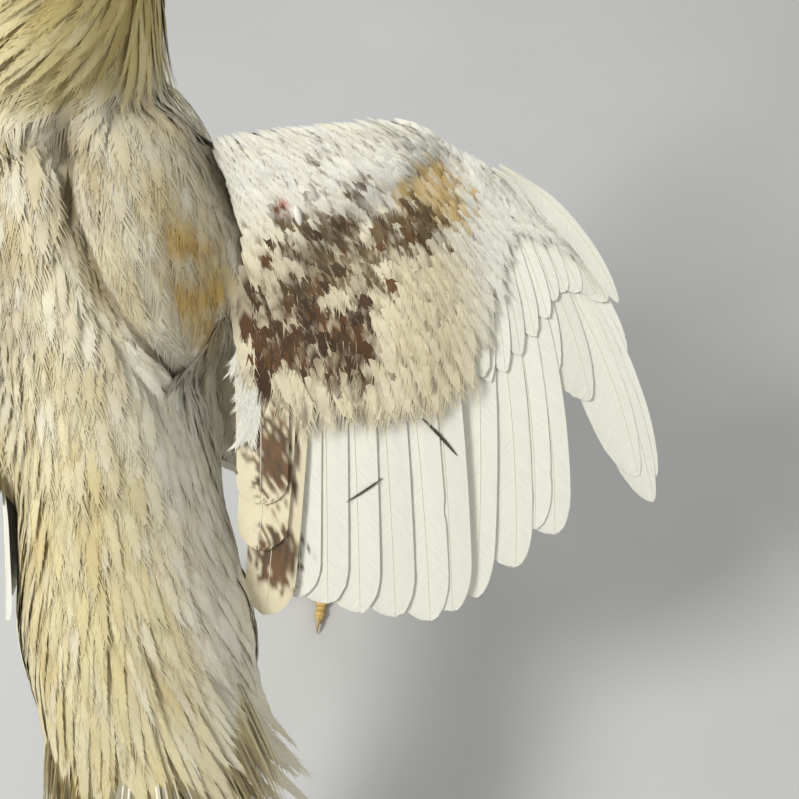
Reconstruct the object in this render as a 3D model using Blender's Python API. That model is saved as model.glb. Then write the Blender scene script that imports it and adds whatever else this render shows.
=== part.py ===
"""A life-size Aseel cock that stands with its right wing spread and its left wing folded.

Metres, +Z up, beak towards +Y, the bird's right side towards +X, soles on Z = 0. The body is laid
out in a pitched frame: FORWARD runs up the back to the neck and DORSAL stands on the back.
"""

import math
import random

import bmesh
import bpy
from mathutils import Matrix, Vector
from mathutils.bvhtree import BVHTree

GAP = 0.0003
SHARPEST_SHELL = 1.8
SEED = 11

BODY_PITCH = math.radians(36)
SHOULDER_HEIGHT = 0.43
RIGHT = Vector((1, 0, 0))
UP = Vector((0, 0, 1))
FORWARD = Vector((0, math.cos(BODY_PITCH), math.sin(BODY_PITCH)))
DORSAL = Vector((0, -math.sin(BODY_PITCH), math.cos(BODY_PITCH)))
SHOULDER = Vector((0, 0, SHOULDER_HEIGHT))

# Along the body: place, middle, half width, rise of the back, drop of the belly.
TORSO = (
    (-0.304, -0.008, 0.034, 0.018, 0.014),
    (-0.284, -0.010, 0.052, 0.032, 0.026),
    (-0.250, -0.014, 0.062, 0.041, 0.035),
    (-0.215, -0.020, 0.064, 0.050, 0.044),
    (-0.175, -0.026, 0.065, 0.058, 0.053),
    (-0.130, -0.032, 0.066, 0.065, 0.063),
    (-0.085, -0.036, 0.071, 0.071, 0.072),
    (-0.040, -0.038, 0.074, 0.074, 0.077),
    (0.000, -0.041, 0.070, 0.074, 0.073),
    (0.032, -0.047, 0.058, 0.062, 0.057),
    (0.052, -0.054, 0.040, 0.040, 0.038),
    (0.062, -0.057, 0.018, 0.018, 0.017),
)

# Up the neck: height, sideways lean, forward place, half width, half depth.
NECK = (
    (0.432, 0.000, 0.010, 0.056, 0.052),
    (0.470, 0.006, 0.030, 0.050, 0.049),
    (0.510, 0.018, 0.050, 0.041, 0.043),
    (0.550, 0.028, 0.064, 0.034, 0.037),
    (0.590, 0.034, 0.073, 0.0285, 0.0315),
    (0.625, 0.037, 0.078, 0.0235, 0.0270),
    (0.645, 0.0385, 0.082, 0.0190, 0.0225),
    (0.662, 0.0395, 0.087, 0.0140, 0.0150),
)

# The head in its own frame: forward place, middle height, half width, rise, drop.
HEAD_CENTRE = Vector((0.040, 0.096, 0.664))
HEAD_YAW = math.radians(14)
HEAD = (
    (-0.028, -0.004, 0.006, 0.006, 0.007),
    (-0.024, -0.003, 0.0125, 0.012, 0.013),
    (-0.014, -0.001, 0.0165, 0.0155, 0.0175),
    (0.000, 0.000, 0.0178, 0.0172, 0.0185),
    (0.010, 0.000, 0.0170, 0.0165, 0.0170),
    (0.018, -0.001, 0.0145, 0.0140, 0.0145),
    (0.025, -0.003, 0.0110, 0.0100, 0.0110),
    (0.030, -0.005, 0.0075, 0.0060, 0.0070),
)
EYE_PLACE = (0.0085, 0.0140, 0.0030)
EYE_RADIUS = 0.0056
# The beak in the head's frame: where it starts, and how far its two halves reach.
BEAK_ROOT = 0.0205
BEAK_TIP = 0.0445
LOWER_TIP = 0.0385

# Across the wing's arm: distance from the midline, middle of the chord, half chord, half thickness.
ARM = (
    (0.045, -0.050, 0.046, 0.0125),
    (0.077, -0.050, 0.050, 0.0115),
    (0.100, -0.050, 0.050, 0.0105),
    (0.125, -0.0395, 0.0400, 0.0098),
    (0.150, -0.0290, 0.0300, 0.0092),
    (0.170, -0.0235, 0.0215, 0.0085),
    (0.184, -0.0225, 0.0150, 0.0075),
    (0.191, -0.0240, 0.0080, 0.0040),
)
ARM_ROOT = 0.077
ARM_CAMBER = 0.020
ARM_CHORD = 0.26
SPAN_DROOP = 0.012

# Along the hand: place across the span, place along the chord, half chord, half thickness.
HAND = (
    (0.183, -0.026, 0.0120, 0.0060),
    (0.200, -0.035, 0.0130, 0.0062),
    (0.220, -0.047, 0.0105, 0.0052),
    (0.240, -0.066, 0.0070, 0.0040),
    (0.251, -0.080, 0.0032, 0.0022),
)
HAND_LEVEL = -0.0030

# Over the right shoulder: place along the body, middle angle, half angle, height of the bulge.
SHOULDER_BULGE = (
    (-0.128, 42.0, 6.0, 0.004),
    (-0.112, 45.0, 17.0, 0.009),
    (-0.085, 48.0, 25.0, 0.0150),
    (-0.050, 50.0, 31.0, 0.0190),
    (-0.020, 50.0, 32.0, 0.0190),
    (0.004, 48.0, 25.0, 0.013),
    (0.014, 45.0, 12.0, 0.005),
)

# Over the left flank: place along the body, middle angle, half angle, height of the folded arm.
FOLDED_ARM = (
    (-0.172, 12.0, 8.0, 0.004),
    (-0.155, 11.0, 20.0, 0.010),
    (-0.120, 9.0, 28.0, 0.0145),
    (-0.075, 6.0, 33.0, 0.018),
    (-0.035, 3.0, 33.0, 0.0185),
    (-0.008, 1.0, 24.0, 0.014),
    (0.004, 0.0, 10.0, 0.006),
)

# Rows of the folded wing, each place along the body and round it: how many, first and last root,
# first and last tip, width, and how far root and tip stand off the body.
FOLDED_ROWS = (
    ("primary", 3, ((-0.115, -8), (-0.130, 8)), ((-0.256, -12), (-0.284, 8)), 0.024, (0.0040, 0.0032)),
    ("secondary", 5, ((-0.085, -24), (-0.150, 20)), ((-0.205, -24), (-0.236, 24)), 0.030, (0.0080, 0.0072)),
    ("greater", 3, ((-0.062, -22), (-0.125, 22)), ((-0.134, -22), (-0.178, 22)), 0.044, (0.0120, 0.0112)),
    ("median", 3, ((-0.035, -20), (-0.085, 26)), ((-0.092, -20), (-0.137, 26)), 0.038, (0.0155, 0.0152)),
)

# Tips of the primaries, innermost first: across the span, along the chord.
PRIMARY_TIPS = (
    (0.1815, -0.2628), (0.2052, -0.2489), (0.2182, -0.2290), (0.2286, -0.2335), (0.2385, -0.1470),
    (0.2560, -0.1625), (0.2790, -0.2075), (0.2865, -0.2230), (0.2890, -0.2090), (0.2780, -0.1420),
)
PRIMARY_ROOTS = ((0.199, -0.042), (0.247, -0.075))
SECONDARY_TIPS = (
    (0.1677, -0.2680), (0.1550, -0.2716), (0.1364, -0.2670), (0.1177, -0.2617), (0.1010, -0.2545),
    (0.0866, -0.2486),
)
SECONDARY_ROOTS = ((0.172, -0.040), (0.108, -0.090))
TERTIAL_TIPS = ((0.0700, -0.2558), (0.0730, -0.2180), (0.0790, -0.1900))
TERTIAL_ROOTS = ((0.101, -0.094), (0.087, -0.088))
COVERT_TIPS = (
    (0.1990, -0.1430), (0.1830, -0.1500), (0.1660, -0.1520), (0.1490, -0.1500), (0.1320, -0.1480),
    (0.1150, -0.1470), (0.0980, -0.1440), (0.0830, -0.1380),
)
COVERT_ROOTS = ((0.177, -0.030), (0.090, -0.080))
HAND_COVERT_TIPS = (
    (0.2090, -0.1360), (0.2190, -0.1280), (0.2290, -0.1180), (0.2390, -0.1060), (0.2490, -0.0990),
    (0.2580, -0.0960),
)
HAND_COVERT_ROOTS = ((0.200, -0.034), (0.240, -0.062))
ALULA_TIPS = ((0.2440, -0.0700), (0.2500, -0.0650), (0.2525, -0.0620))
ALULA_ROOTS = ((0.206, -0.034), (0.212, -0.030))

LOCK_STEPS = 3
POINTED_LOCK = (0.55, 1.0, 0.92, 0.10)
ROUND_LOCK = (0.55, 1.0, 1.0, 0.45)

# Rows of neck feathers: height, number round the neck, length.
HACKLE_ROWS = ((0.620, 6, 0.066), (0.570, 7, 0.084), (0.514, 9, 0.096))
HACKLE_WIDTH = 0.034
# Rows of saddle feathers: place along the body, number on each side, length, lowest angle.
SADDLE_ROWS = ((-0.188, 3, 0.078, 8.0), (-0.236, 4, 0.088, 2.0))
SADDLE_WIDTH = 0.034

FLIGHT_THICKNESS = 0.0008
COVERT_THICKNESS = 0.0007
ROUND_TIP = (0.12, 0.30, 0.72, 0.96, 1.0, 1.0, 0.92, 0.34)
SHARP_TIP = (0.14, 0.34, 0.74, 0.95, 1.0, 0.92, 0.66, 0.10)
COVERT_TIP = (0.30, 0.75, 1.0, 1.0, 0.90, 0.36)

TAIL_ROOT = (-0.272, -0.008)
TAIL_PITCH = -27.0
TAIL_PAIRS = 4
TAIL_LENGTH = 0.150
SICKLE_LENGTH = 0.225
HANGER_LENGTH = 0.150

SHINGLE_TILT = math.tan(math.radians(5))
FOLD_TILT = math.tan(math.radians(7))

# Down the drumstick: place to the side, forward, height, half width, half depth.
THIGH = (
    (0.034, -0.044, 0.335, 0.034, 0.040),
    (0.044, -0.048, 0.300, 0.036, 0.049),
    (0.053, -0.050, 0.268, 0.0355, 0.050),
    (0.059, -0.054, 0.236, 0.0305, 0.041),
    (0.063, -0.064, 0.204, 0.0225, 0.0280),
    (0.0655, -0.074, 0.179, 0.0150, 0.0175),
    (0.0665, -0.080, 0.163, 0.0105, 0.0120),
)
FOOT_SPREAD = 0.068
FOOT_FORWARD = -0.066
SHANK_TOP = 0.150
TOE_HEIGHT = 0.0075
PRINT_TOES = (
    ("middle", 0.0, 0.078, 0.0062),
    ("inner", 33.0, 0.060, 0.0056),
    ("outer", -35.0, 0.060, 0.0056),
    ("rear", 168.0, 0.034, 0.0048),
)
SCUTES = 6

PLUMAGE = ("plumage", (0.72, 0.68, 0.48), 0.75)
FLESH = ("face_skin", (0.62, 0.10, 0.07), 0.55)
HORN = ("beak_horn", (0.72, 0.60, 0.34), 0.4)
SCALES = ("leg_scales", (0.76, 0.62, 0.30), 0.5)
EYE = ("eye_pearl", (0.80, 0.76, 0.62), 0.1)


def body(across, along, above):
    """A point of the body's pitched frame."""
    return SHOULDER + RIGHT * across + FORWARD * along + DORSAL * above


def hermite(rows, key):
    """The row of a table at this key, on a smooth curve through its rows."""
    key = min(max(key, rows[0][0]), rows[-1][0])
    i = max(k for k in range(len(rows) - 1) if rows[k][0] <= key)
    first, second = rows[i], rows[i + 1]
    before, after = rows[max(i - 1, 0)], rows[min(i + 2, len(rows) - 1)]
    span = second[0] - first[0]
    t = (key - first[0]) / span
    found = []
    for column in range(1, len(first)):
        rate = (second[column] - before[column]) / (second[0] - before[0])
        next_rate = (after[column] - first[column]) / (after[0] - first[0])
        found.append(
            first[column] * (2 * t**3 - 3 * t**2 + 1)
            + second[column] * (3 * t**2 - 2 * t**3)
            + rate * span * (t**3 - 2 * t**2 + t)
            + next_rate * span * (t**3 - t**2)
        )
    return found


def between(values, t):
    """A value at share t along evenly spaced values."""
    place = min(max(t, 0.0), 1.0) * (len(values) - 1)
    i = min(int(place), len(values) - 2)
    return values[i] + (values[i + 1] - values[i]) * (place - i)


def share(i, count):
    """The share of the way along a row of this many."""
    return i / (count - 1) if count > 1 else 0.5


def pair_between(pair, t):
    """A point at share t along the line between a pair of points."""
    return Vector(pair[0]).lerp(Vector(pair[1]), t)


def new_object(name, mesh, material=PLUMAGE):
    """A mesh object with the material given by name, colour and roughness."""
    mesh.normal_update()
    bmesh.ops.recalc_face_normals(mesh, faces=mesh.faces)
    if mesh.calc_volume(signed=True) < 0:
        bmesh.ops.reverse_faces(mesh, faces=mesh.faces)
    data = bpy.data.meshes.new(name)
    mesh.to_mesh(data)
    mesh.free()
    obj = bpy.data.objects.new(name, data)
    PARTS.objects.link(obj)
    slot, colour, roughness = material
    finish = bpy.data.materials.get(slot)
    if finish is None:
        finish = bpy.data.materials.new(slot)
        finish.use_nodes = True
        shader = finish.node_tree.nodes["Principled BSDF"]
        shader.inputs["Base Color"].default_value = (*colour, 1)
        shader.inputs["Roughness"].default_value = roughness
        shader.inputs["Metallic"].default_value = 0.0
    data.materials.append(finish)
    return obj


def skin(name, rings, material=PLUMAGE):
    """A closed surface through rings of points, with a cap at each end, all in triangles."""
    mesh = bmesh.new()
    loops = [[mesh.verts.new(point) for point in ring] for ring in rings]
    count = len(loops[0])
    for i in range(count):
        j = (i + 1) % count
        for first, second in zip(loops, loops[1:]):
            mesh.faces.new((first[i], first[j], second[j]))
            mesh.faces.new((first[i], second[j], second[i]))
    for loop, points in ((loops[0], rings[0]), (loops[-1], rings[-1])):
        middle = mesh.verts.new(sum(points, Vector()) / count)
        for i in range(count):
            mesh.faces.new((loop[i], loop[(i + 1) % count], middle))
    return new_object(name, mesh, material)


def ring(centre, side, up, width, rise, drop, segments):
    """An oval of points whose upper and lower halves differ in height."""
    points = []
    for i in range(segments):
        angle = 2 * math.pi * i / segments
        height = math.sin(angle) * (rise if math.sin(angle) > 0 else drop)
        points.append(centre + side * (width * math.cos(angle)) + up * height)
    return points


def plate(name, stations, thickness, material=PLUMAGE):
    """A thin closed vane through stations of points across it, split alike on both faces."""
    mesh = bmesh.new()
    top = []
    under = []
    for points, normal, share_thick in stations:
        half = normal * (thickness * share_thick / 2)
        top.append([mesh.verts.new(p + half) for p in points])
        under.append([mesh.verts.new(p - half) for p in points])
    last = len(stations[0][0]) - 1
    for k in range(len(stations) - 1):
        for i in range(last):
            for face in (top, under):
                near, far = face[k], face[k + 1]
                mesh.faces.new((near[i], near[i + 1], far[i + 1]))
                mesh.faces.new((near[i], far[i + 1], far[i]))
        for i in (0, last):
            mesh.faces.new((top[k][i], top[k + 1][i], under[k + 1][i]))
            mesh.faces.new((top[k][i], under[k + 1][i], under[k][i]))
    for k in (0, -1):
        for i in range(last):
            mesh.faces.new((top[k][i], top[k][i + 1], under[k][i + 1]))
            mesh.faces.new((top[k][i], under[k][i + 1], under[k][i]))
    return new_object(name, mesh, material)


def grown_mesh(obj, distance):
    """A copy of a closed object's mesh whose faces stand out by this distance."""
    mesh = bmesh.new()
    mesh.from_mesh(obj.data)
    mesh.normal_update()
    moves = [v.normal * (distance * min(v.calc_shell_factor(), SHARPEST_SHELL)) for v in mesh.verts]
    for vertex, move in zip(mesh.verts, moves):
        vertex.co += move
    data = bpy.data.meshes.new(obj.name + "_grown")
    mesh.to_mesh(data)
    mesh.free()
    return data


def settle(obj):
    """Turns the object's modifiers into its mesh."""
    graph = bpy.context.evaluated_depsgraph_get()
    data = bpy.data.meshes.new_from_object(obj.evaluated_get(graph))
    obj.modifiers.clear()
    obj.data = data


def signed_volume(faces):
    """The volume inside triangles and polygons that face out."""
    total = 0.0
    for face in faces:
        first = face.verts[0].co
        for i in range(1, len(face.verts) - 1):
            total += first.dot(face.verts[i].co.cross(face.verts[i + 1].co)) / 6
    return total


def keep_largest(obj):
    """Keeps only the largest closed surface of a mesh."""
    mesh = bmesh.new()
    mesh.from_mesh(obj.data)
    waiting = set(mesh.faces)
    pieces = []
    while waiting:
        piece = {waiting.pop()}
        edge_of = list(piece)
        while edge_of:
            for edge in edge_of.pop().edges:
                for face in edge.link_faces:
                    if face in waiting:
                        waiting.discard(face)
                        piece.add(face)
                        edge_of.append(face)
        pieces.append(piece)
    largest = max(pieces, key=signed_volume)
    dropped = [face for piece in pieces if piece is not largest for face in piece]
    bmesh.ops.delete(mesh, geom=dropped, context="FACES")
    mesh.to_mesh(obj.data)
    mesh.free()


def combine(base, others, operation):
    """Joins the other objects to the base, or cuts them out of it, and removes them."""
    group = bpy.data.collections.new("operands")
    for other in others:
        group.objects.link(other)
    boolean = base.modifiers.new("Boolean", "BOOLEAN")
    boolean.operation = operation
    boolean.solver = "MANIFOLD"
    boolean.operand_type = "COLLECTION"
    boolean.collection = group
    settle(base)
    for other in others:
        bpy.data.objects.remove(other)
    bpy.data.collections.remove(group)
    keep_largest(base)
    return base


def join(name, pieces):
    """One closed object from closed pieces that overlap. The first piece gives the material."""
    base, others = pieces[0], pieces[1:]
    base.name = name
    SPACES[name] = [grown_mesh(piece, GAP) for piece in pieces]
    if others:
        combine(base, others, "UNION")
    return base


def fit_to(obj, *neighbours):
    """Cuts the object back so that it meets its neighbours face to face, with a hair of space."""
    cutters = []
    for neighbour in neighbours:
        spaces = SPACES.get(neighbour.name) or [grown_mesh(neighbour, GAP)]
        cutters += [bpy.data.objects.new("cutter", space) for space in spaces]
    return combine(obj, cutters, "DIFFERENCE")


def ellipsoid(name, centre, axes, segments=10, rings=6, material=FLESH):
    """A stretched sphere with these half axes, given as vectors."""
    mesh = bmesh.new()
    bmesh.ops.create_uvsphere(mesh, u_segments=segments, v_segments=rings, radius=1.0)
    shape = Matrix((axes[0], axes[1], axes[2])).transposed()
    for vertex in mesh.verts:
        vertex.co = centre + shape @ vertex.co
    return new_object(name, mesh, material)


def tube(name, spine, side, segments, material=PLUMAGE):
    """A limb along spine rows of (point, half width, rise, drop), with side held across it."""
    rings = []
    for i, (point, width, rise, drop) in enumerate(spine):
        before = spine[max(i - 1, 0)][0]
        after = spine[min(i + 1, len(spine) - 1)][0]
        run = (after - before).normalized()
        across = (side - run * side.dot(run)).normalized()
        rings.append(ring(point, across, run.cross(across), width, rise, drop, segments))
    return skin(name, rings, material)


def torso_point(along, angle, lift, side=1):
    """A point over the torso: angle 0 is the flank, 90 degrees the spine, and lift stands off it."""
    middle, width, rise, drop = hermite(TORSO, along)
    turn = math.radians(angle)
    height = rise if turn > 0 else drop
    normal = (RIGHT * (side * math.cos(turn) / width) + DORSAL * (math.sin(turn) / height)).normalized()
    point = body(side * width * math.cos(turn), along, middle + height * math.sin(turn))
    return point + normal * lift


def make_torso():
    """The trunk with its close body feathers, without the saddle."""
    stations = 14
    first, last = TORSO[0][0], TORSO[-1][0]
    rings = []
    for i in range(stations):
        along = first + (last - first) * share(i, stations)
        middle, width, rise, drop = hermite(TORSO, along)
        centre = body(0, along, middle)
        rings.append(ring(centre, RIGHT, DORSAL, width, rise, drop, 18))
    return skin("torso", rings)


def neck_row(height):
    """Centre, forward slope, half width and half depth of the neck at a height."""
    lean, forward, width, depth = hermite(NECK, height)
    return Vector((lean, forward, height)), width, depth


def neck_spine(step=0.018):
    """The neck's centre line, upwards, as rows for a tube."""
    low, high = NECK[0][0], NECK[-1][0]
    count = round((high - low) / step) + 1
    rows = []
    for i in range(count):
        centre, width, depth = neck_row(low + (high - low) * share(i, count))
        rows.append((centre, width, depth, depth))
    return rows


def guide_tree(objects):
    """A search tree over the outer surfaces of several objects."""
    mesh = bmesh.new()
    for obj in objects:
        mesh.from_mesh(obj.data)
    tree = BVHTree.FromBMesh(mesh)
    mesh.free()
    return tree


def draped_lock(name, tree, start, heading, length, width, lifts, pointed, material=PLUMAGE):
    """A tapered lock that follows a surface from its root, at lifts that run from root to tip."""
    steps = LOCK_STEPS
    shape = POINTED_LOCK if pointed else ROUND_LOCK
    place, normal, _, _ = tree.find_nearest(start)
    stations = []
    for k in range(steps + 1):
        t = k / steps
        heading = (heading - normal * heading.dot(normal)).normalized()
        side = heading.cross(normal)
        half = width / 2 * between(shape, t)
        centre = place + normal * between(lifts, t)
        stations.append(((centre - side * half, centre + side * half), normal, 1.0))
        probe = place + heading * (length / steps) + normal * (width * 0.4)
        place, new_normal, _, _ = tree.find_nearest(probe)
        normal = (normal + new_normal * 2).normalized()
    return plate(name, stations, COVERT_THICKNESS, material)


def hackle_locks(tree, chance):
    """The pointed neck feathers, in rows that run down the neck and over the shoulders."""
    lifts = (-0.0045, 0.0022, 0.0034, 0.0036)
    locks = []
    for r, (height, count, length) in enumerate(HACKLE_ROWS):
        centre, width, depth = neck_row(height)
        lower = neck_row(height - 0.02)[0]
        for i in range(count):
            turn = 2 * math.pi * (i + 0.5 * (r % 2)) / count
            outward = Vector((math.cos(turn), -math.sin(turn), 0))
            root = centre + Vector((outward.x * width, outward.y * depth, 0))
            flow = (lower - centre) + outward * 0.004
            reach = length * chance.uniform(0.92, 1.08)
            if outward.y > 0.3:
                reach *= 0.8
            locks.append(draped_lock("hackle", tree, root, flow, reach, HACKLE_WIDTH, lifts, True))
    return locks


def make_neck(torso, shoulder, head, tree):
    """The neck with its hackle, cut to meet its neighbours."""
    chance = random.Random(SEED)
    core = tube("neck", neck_spine(0.026), RIGHT, 14)
    neck = join("neck", [core, *hackle_locks(tree, chance)])
    fit_to(neck, head, shoulder, torso)


def saddle_locks(tree, chance):
    """Pointed saddle feathers that run back over the rump and hang at its sides."""
    lifts = (-0.0050, 0.0022, 0.0036, 0.0040)
    locks = []
    for along, count, length, lowest in SADDLE_ROWS:
        for side in (1, -1):
            for i in range(count):
                angle = 80 + (lowest - 80) * share(i, count)
                root = torso_point(along, angle, 0, side)
                flow = -FORWARD + RIGHT * (side * 0.30 * math.cos(math.radians(angle))) - UP * 0.12
                reach = length * chance.uniform(0.9, 1.1)
                locks.append(draped_lock("saddle", tree, root, flow, reach, SADDLE_WIDTH, lifts, True))
    return locks


def make_saddled_torso(core, tree):
    """The torso with its saddle feathers."""
    return join("torso", [core, *saddle_locks(tree, random.Random(SEED + 1))])


def wing_point(across, along, above):
    """A point of the spread wing, which arches down behind and towards its tip."""
    behind = max(0.0, -along) / ARM_CHORD
    outward = max(0.0, across - ARM_ROOT) / 0.2
    return body(across, along, above - ARM_CAMBER * behind**2 - SPAN_DROOP * outward**2)


def flight_vane(name, root, tip, bow, lead, trail, levels, shape, thickness, steps):
    """A wing feather from root to tip, bowed towards its leading side and tilted over the next one."""
    start, end = Vector(root), Vector(tip)
    run = end - start
    control = (start + end) / 2 + Vector((-run.y, run.x)) * bow
    stations = []
    for k in range(steps + 1):
        t = k / steps
        place = start * (1 - t) ** 2 + control * (2 * t * (1 - t)) + end * t**2
        heading = ((control - start) * (1 - t) + (end - control) * t).normalized()
        ahead = Vector((-heading.y, heading.x))
        fullness = between(shape, t)
        level = between(levels, t)
        front = place + ahead * (lead * fullness)
        back = place - ahead * (trail * fullness)
        points = [
            wing_point(back.x, back.y, level - SHINGLE_TILT * trail * fullness),
            wing_point(front.x, front.y, level + SHINGLE_TILT * lead * fullness),
        ]
        stations.append((points, DORSAL, 1.0))
    return plate(name, stations, thickness)


def vane_row(name, roots, tips, bow, lead, trail, levels, shape, thickness, steps=5, step_up=0.0):
    """A row of wing feathers from a line of roots to their tips."""
    row = []
    for i, tip in enumerate(tips):
        t = share(i, len(tips))
        raised = [level + step_up * i for level in levels]
        root = pair_between(roots, t)
        curve = between(bow, t)
        row.append(flight_vane(name, root, tip, curve, lead, trail, raised, shape, thickness, steps))
    return row


def arm_ring(across, segments=12):
    """The outline of the feathered arm and its fold of skin at a distance from the midline."""
    middle, chord, thick = hermite(ARM, across)
    points = []
    for i in range(segments):
        angle = 2 * math.pi * i / segments
        points.append(wing_point(across, middle + chord * math.cos(angle), thick * math.sin(angle)))
    return points


def make_arm(name, first, last, stations):
    """A stretch of the arm between two distances from the midline."""
    rings = [arm_ring(first + (last - first) * share(i, stations)) for i in range(stations)]
    return skin(name, rings, PLUMAGE)


def make_forearm(shoulder, torso):
    """The forearm with its secondaries, tertials and tiers of coverts."""
    pieces = [make_arm("wing_right_forearm", ARM_ROOT + GAP, ARM[-1][0], 8)]
    pieces += vane_row(
        "secondary", SECONDARY_ROOTS, SECONDARY_TIPS, (0.035, 0.0), 0.013, 0.020, (0.0, 0.0), ROUND_TIP,
        FLIGHT_THICKNESS, steps=4,
    )
    pieces += vane_row(
        "tertial", TERTIAL_ROOTS, TERTIAL_TIPS, (0.02, 0.04), 0.015, 0.013, (0.001, 0.0024), ROUND_TIP,
        FLIGHT_THICKNESS, step_up=0.0016,
    )
    pieces += vane_row(
        "greater_covert", COVERT_ROOTS, COVERT_TIPS, (0.02, 0.0), 0.011, 0.013, (0.0035, 0.0048, 0.0040),
        COVERT_TIP, COVERT_THICKNESS, steps=3,
    )
    median_tips = [(x - 0.006, y + 0.040) for x, y in COVERT_TIPS[::2]]
    median_roots = [(x, y + 0.026) for x, y in COVERT_ROOTS]
    pieces += vane_row(
        "median_covert", median_roots, median_tips, (0.02, 0.0), 0.018, 0.020, (0.0062, 0.0092, 0.0072),
        COVERT_TIP, COVERT_THICKNESS, steps=3,
    )
    forearm = join("wing_right_forearm", pieces)
    return fit_to(forearm, shoulder, torso)


def make_hand(forearm_core):
    """The hand with its primaries, their coverts and the bastard wing."""
    rings = []
    for i, (across, along, chord, thick) in enumerate(HAND):
        before, after = HAND[max(i - 1, 0)], HAND[min(i + 1, len(HAND) - 1)]
        run = Vector((after[0] - before[0], after[1] - before[1])).normalized()
        ahead = Vector((-run.y, run.x))
        points = []
        for k in range(10):
            angle = 2 * math.pi * k / 10
            offset = ahead * (chord * math.cos(angle))
            level = HAND_LEVEL + thick * math.sin(angle)
            points.append(wing_point(across + offset.x, along + offset.y, level))
        rings.append(points)
    pieces = [skin("wing_right_hand", rings, PLUMAGE)]
    bows = (0.05, 0.07, 0.09, 0.10, 0.10, 0.10, 0.10, 0.10, 0.09, 0.06)
    pieces += vane_row(
        "primary", PRIMARY_ROOTS, PRIMARY_TIPS, bows, 0.0065, 0.0175,
        (HAND_LEVEL, HAND_LEVEL), SHARP_TIP, FLIGHT_THICKNESS, steps=4,
    )
    pieces += vane_row(
        "primary_covert", HAND_COVERT_ROOTS, HAND_COVERT_TIPS, (0.05, 0.08), 0.006, 0.011,
        (HAND_LEVEL + 0.0025, HAND_LEVEL + 0.0030), COVERT_TIP, COVERT_THICKNESS, steps=3,
    )
    pieces += vane_row(
        "bastard_feather", ALULA_ROOTS, ALULA_TIPS, (0.08, 0.10), 0.0045, 0.009,
        (HAND_LEVEL + 0.004, HAND_LEVEL + 0.0045), COVERT_TIP, COVERT_THICKNESS, steps=3, step_up=0.0012,
    )
    hand = join("wing_right_hand", pieces)
    return fit_to(hand, forearm_core)


def blanket_ring(along, angle, half_angle, height, side, sunk, segments=12):
    """A low bulge that lies on the torso, as one ring across it."""
    points = []
    for i in range(segments):
        turn = 2 * math.pi * i / segments
        lift = height * math.sin(turn) if math.sin(turn) > 0 else sunk * math.sin(turn)
        points.append(torso_point(along, angle + half_angle * math.cos(turn), lift, side))
    return points


def make_shoulder(torso):
    """The feathered upper arm against the body, with its scapular feathers."""
    rings = [blanket_ring(a, angle, half, height, 1, 0.003) for a, angle, half, height in SHOULDER_BULGE]
    bulge = skin("bulge", rings)
    root = make_arm("root", ARM[0][0], ARM_ROOT - GAP, 3)
    tree = guide_tree([bulge, torso])
    pieces = [root, bulge]
    for along, count, length in ((-0.066, 3, 0.052), (-0.094, 3, 0.048)):
        for i in range(count):
            angle = 31 + 28 * share(i, count)
            start = torso_point(along, angle, 0.02)
            flow = -FORWARD + RIGHT * 0.10
            lifts = (-0.0045, 0.0020, 0.0030, 0.0030)
            pieces.append(draped_lock("scapular", tree, start, flow, length, 0.028, lifts, False))
    shoulder = join("wing_right_shoulder", pieces)
    return fit_to(shoulder, torso)


def folded_vane(name, root, tip, width, lifts, shape, thickness, steps=3):
    """A feather of the folded wing: root and tip are places along the body and angles round it."""
    stations = []
    for k in range(steps + 1):
        t = k / steps
        along = root[0] + (tip[0] - root[0]) * t
        angle = root[1] + (tip[1] - root[1]) * t
        radius = hermite(TORSO, along)[1]
        half = math.degrees(width / 2 * between(shape, t) / radius)
        lift = between(lifts, t)
        rise = width / 2 * between(shape, t) * FOLD_TILT
        points = [
            torso_point(along, angle - half, lift + rise, -1),
            torso_point(along, angle + half, lift - rise, -1),
        ]
        normal = (torso_point(along, angle, 1.0, -1) - torso_point(along, angle, 0.0, -1)).normalized()
        stations.append((points, normal, 1.0))
    return plate(name, stations, thickness)


def make_folded_wing(torso):
    """The left wing, folded against the flank, with primaries under the secondaries."""
    rings = [blanket_ring(a, angle, half, height, -1, 0.003) for a, angle, half, height in FOLDED_ARM]
    pieces = [skin("wing_left", rings)]
    for name, count, roots, tips, width, lifts in FOLDED_ROWS:
        shape = SHARP_TIP if name == "primary" else ROUND_TIP
        for i in range(count):
            root = pair_between(roots, share(i, count))
            tip = pair_between(tips, share(i, count))
            pieces.append(folded_vane(name, root, tip, width, lifts, shape, COVERT_THICKNESS))
    wing = join("wing_left", pieces)
    return fit_to(wing, torso)


def arched_vane(name, root, turns, length, width, droop, shape, thickness, steps=3):
    """A tail feather that leaves its root backwards and droops: turns are its yaw, pitch and roll."""
    yaw, pitch, roll = turns
    place = root.copy()
    stations = []
    for k in range(steps + 1):
        t = k / steps
        dip = math.radians(pitch - droop * t)
        turn = math.radians(yaw)
        heading = Vector((math.sin(turn) * math.cos(dip), -math.cos(turn) * math.cos(dip), math.sin(dip)))
        level_side = heading.cross(UP).normalized()
        normal = level_side.cross(heading).normalized()
        lean = math.radians(roll)
        side = level_side * math.cos(lean) + normal * math.sin(lean)
        face = side.cross(heading)
        half = width / 2 * between(shape, t)
        stations.append(((place - side * half, place + side * half), face, 1.0))
        place = place + heading * (length / steps)
    return plate(name, stations, thickness)


def tail_root(back, across, above):
    """A place at the root of the tail: how far back, to the right and up."""
    dip = math.radians(TAIL_PITCH)
    heading = Vector((0, -math.cos(dip), math.sin(dip)))
    return body(0, *TAIL_ROOT) + heading * back + RIGHT * across + UP * above


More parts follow.
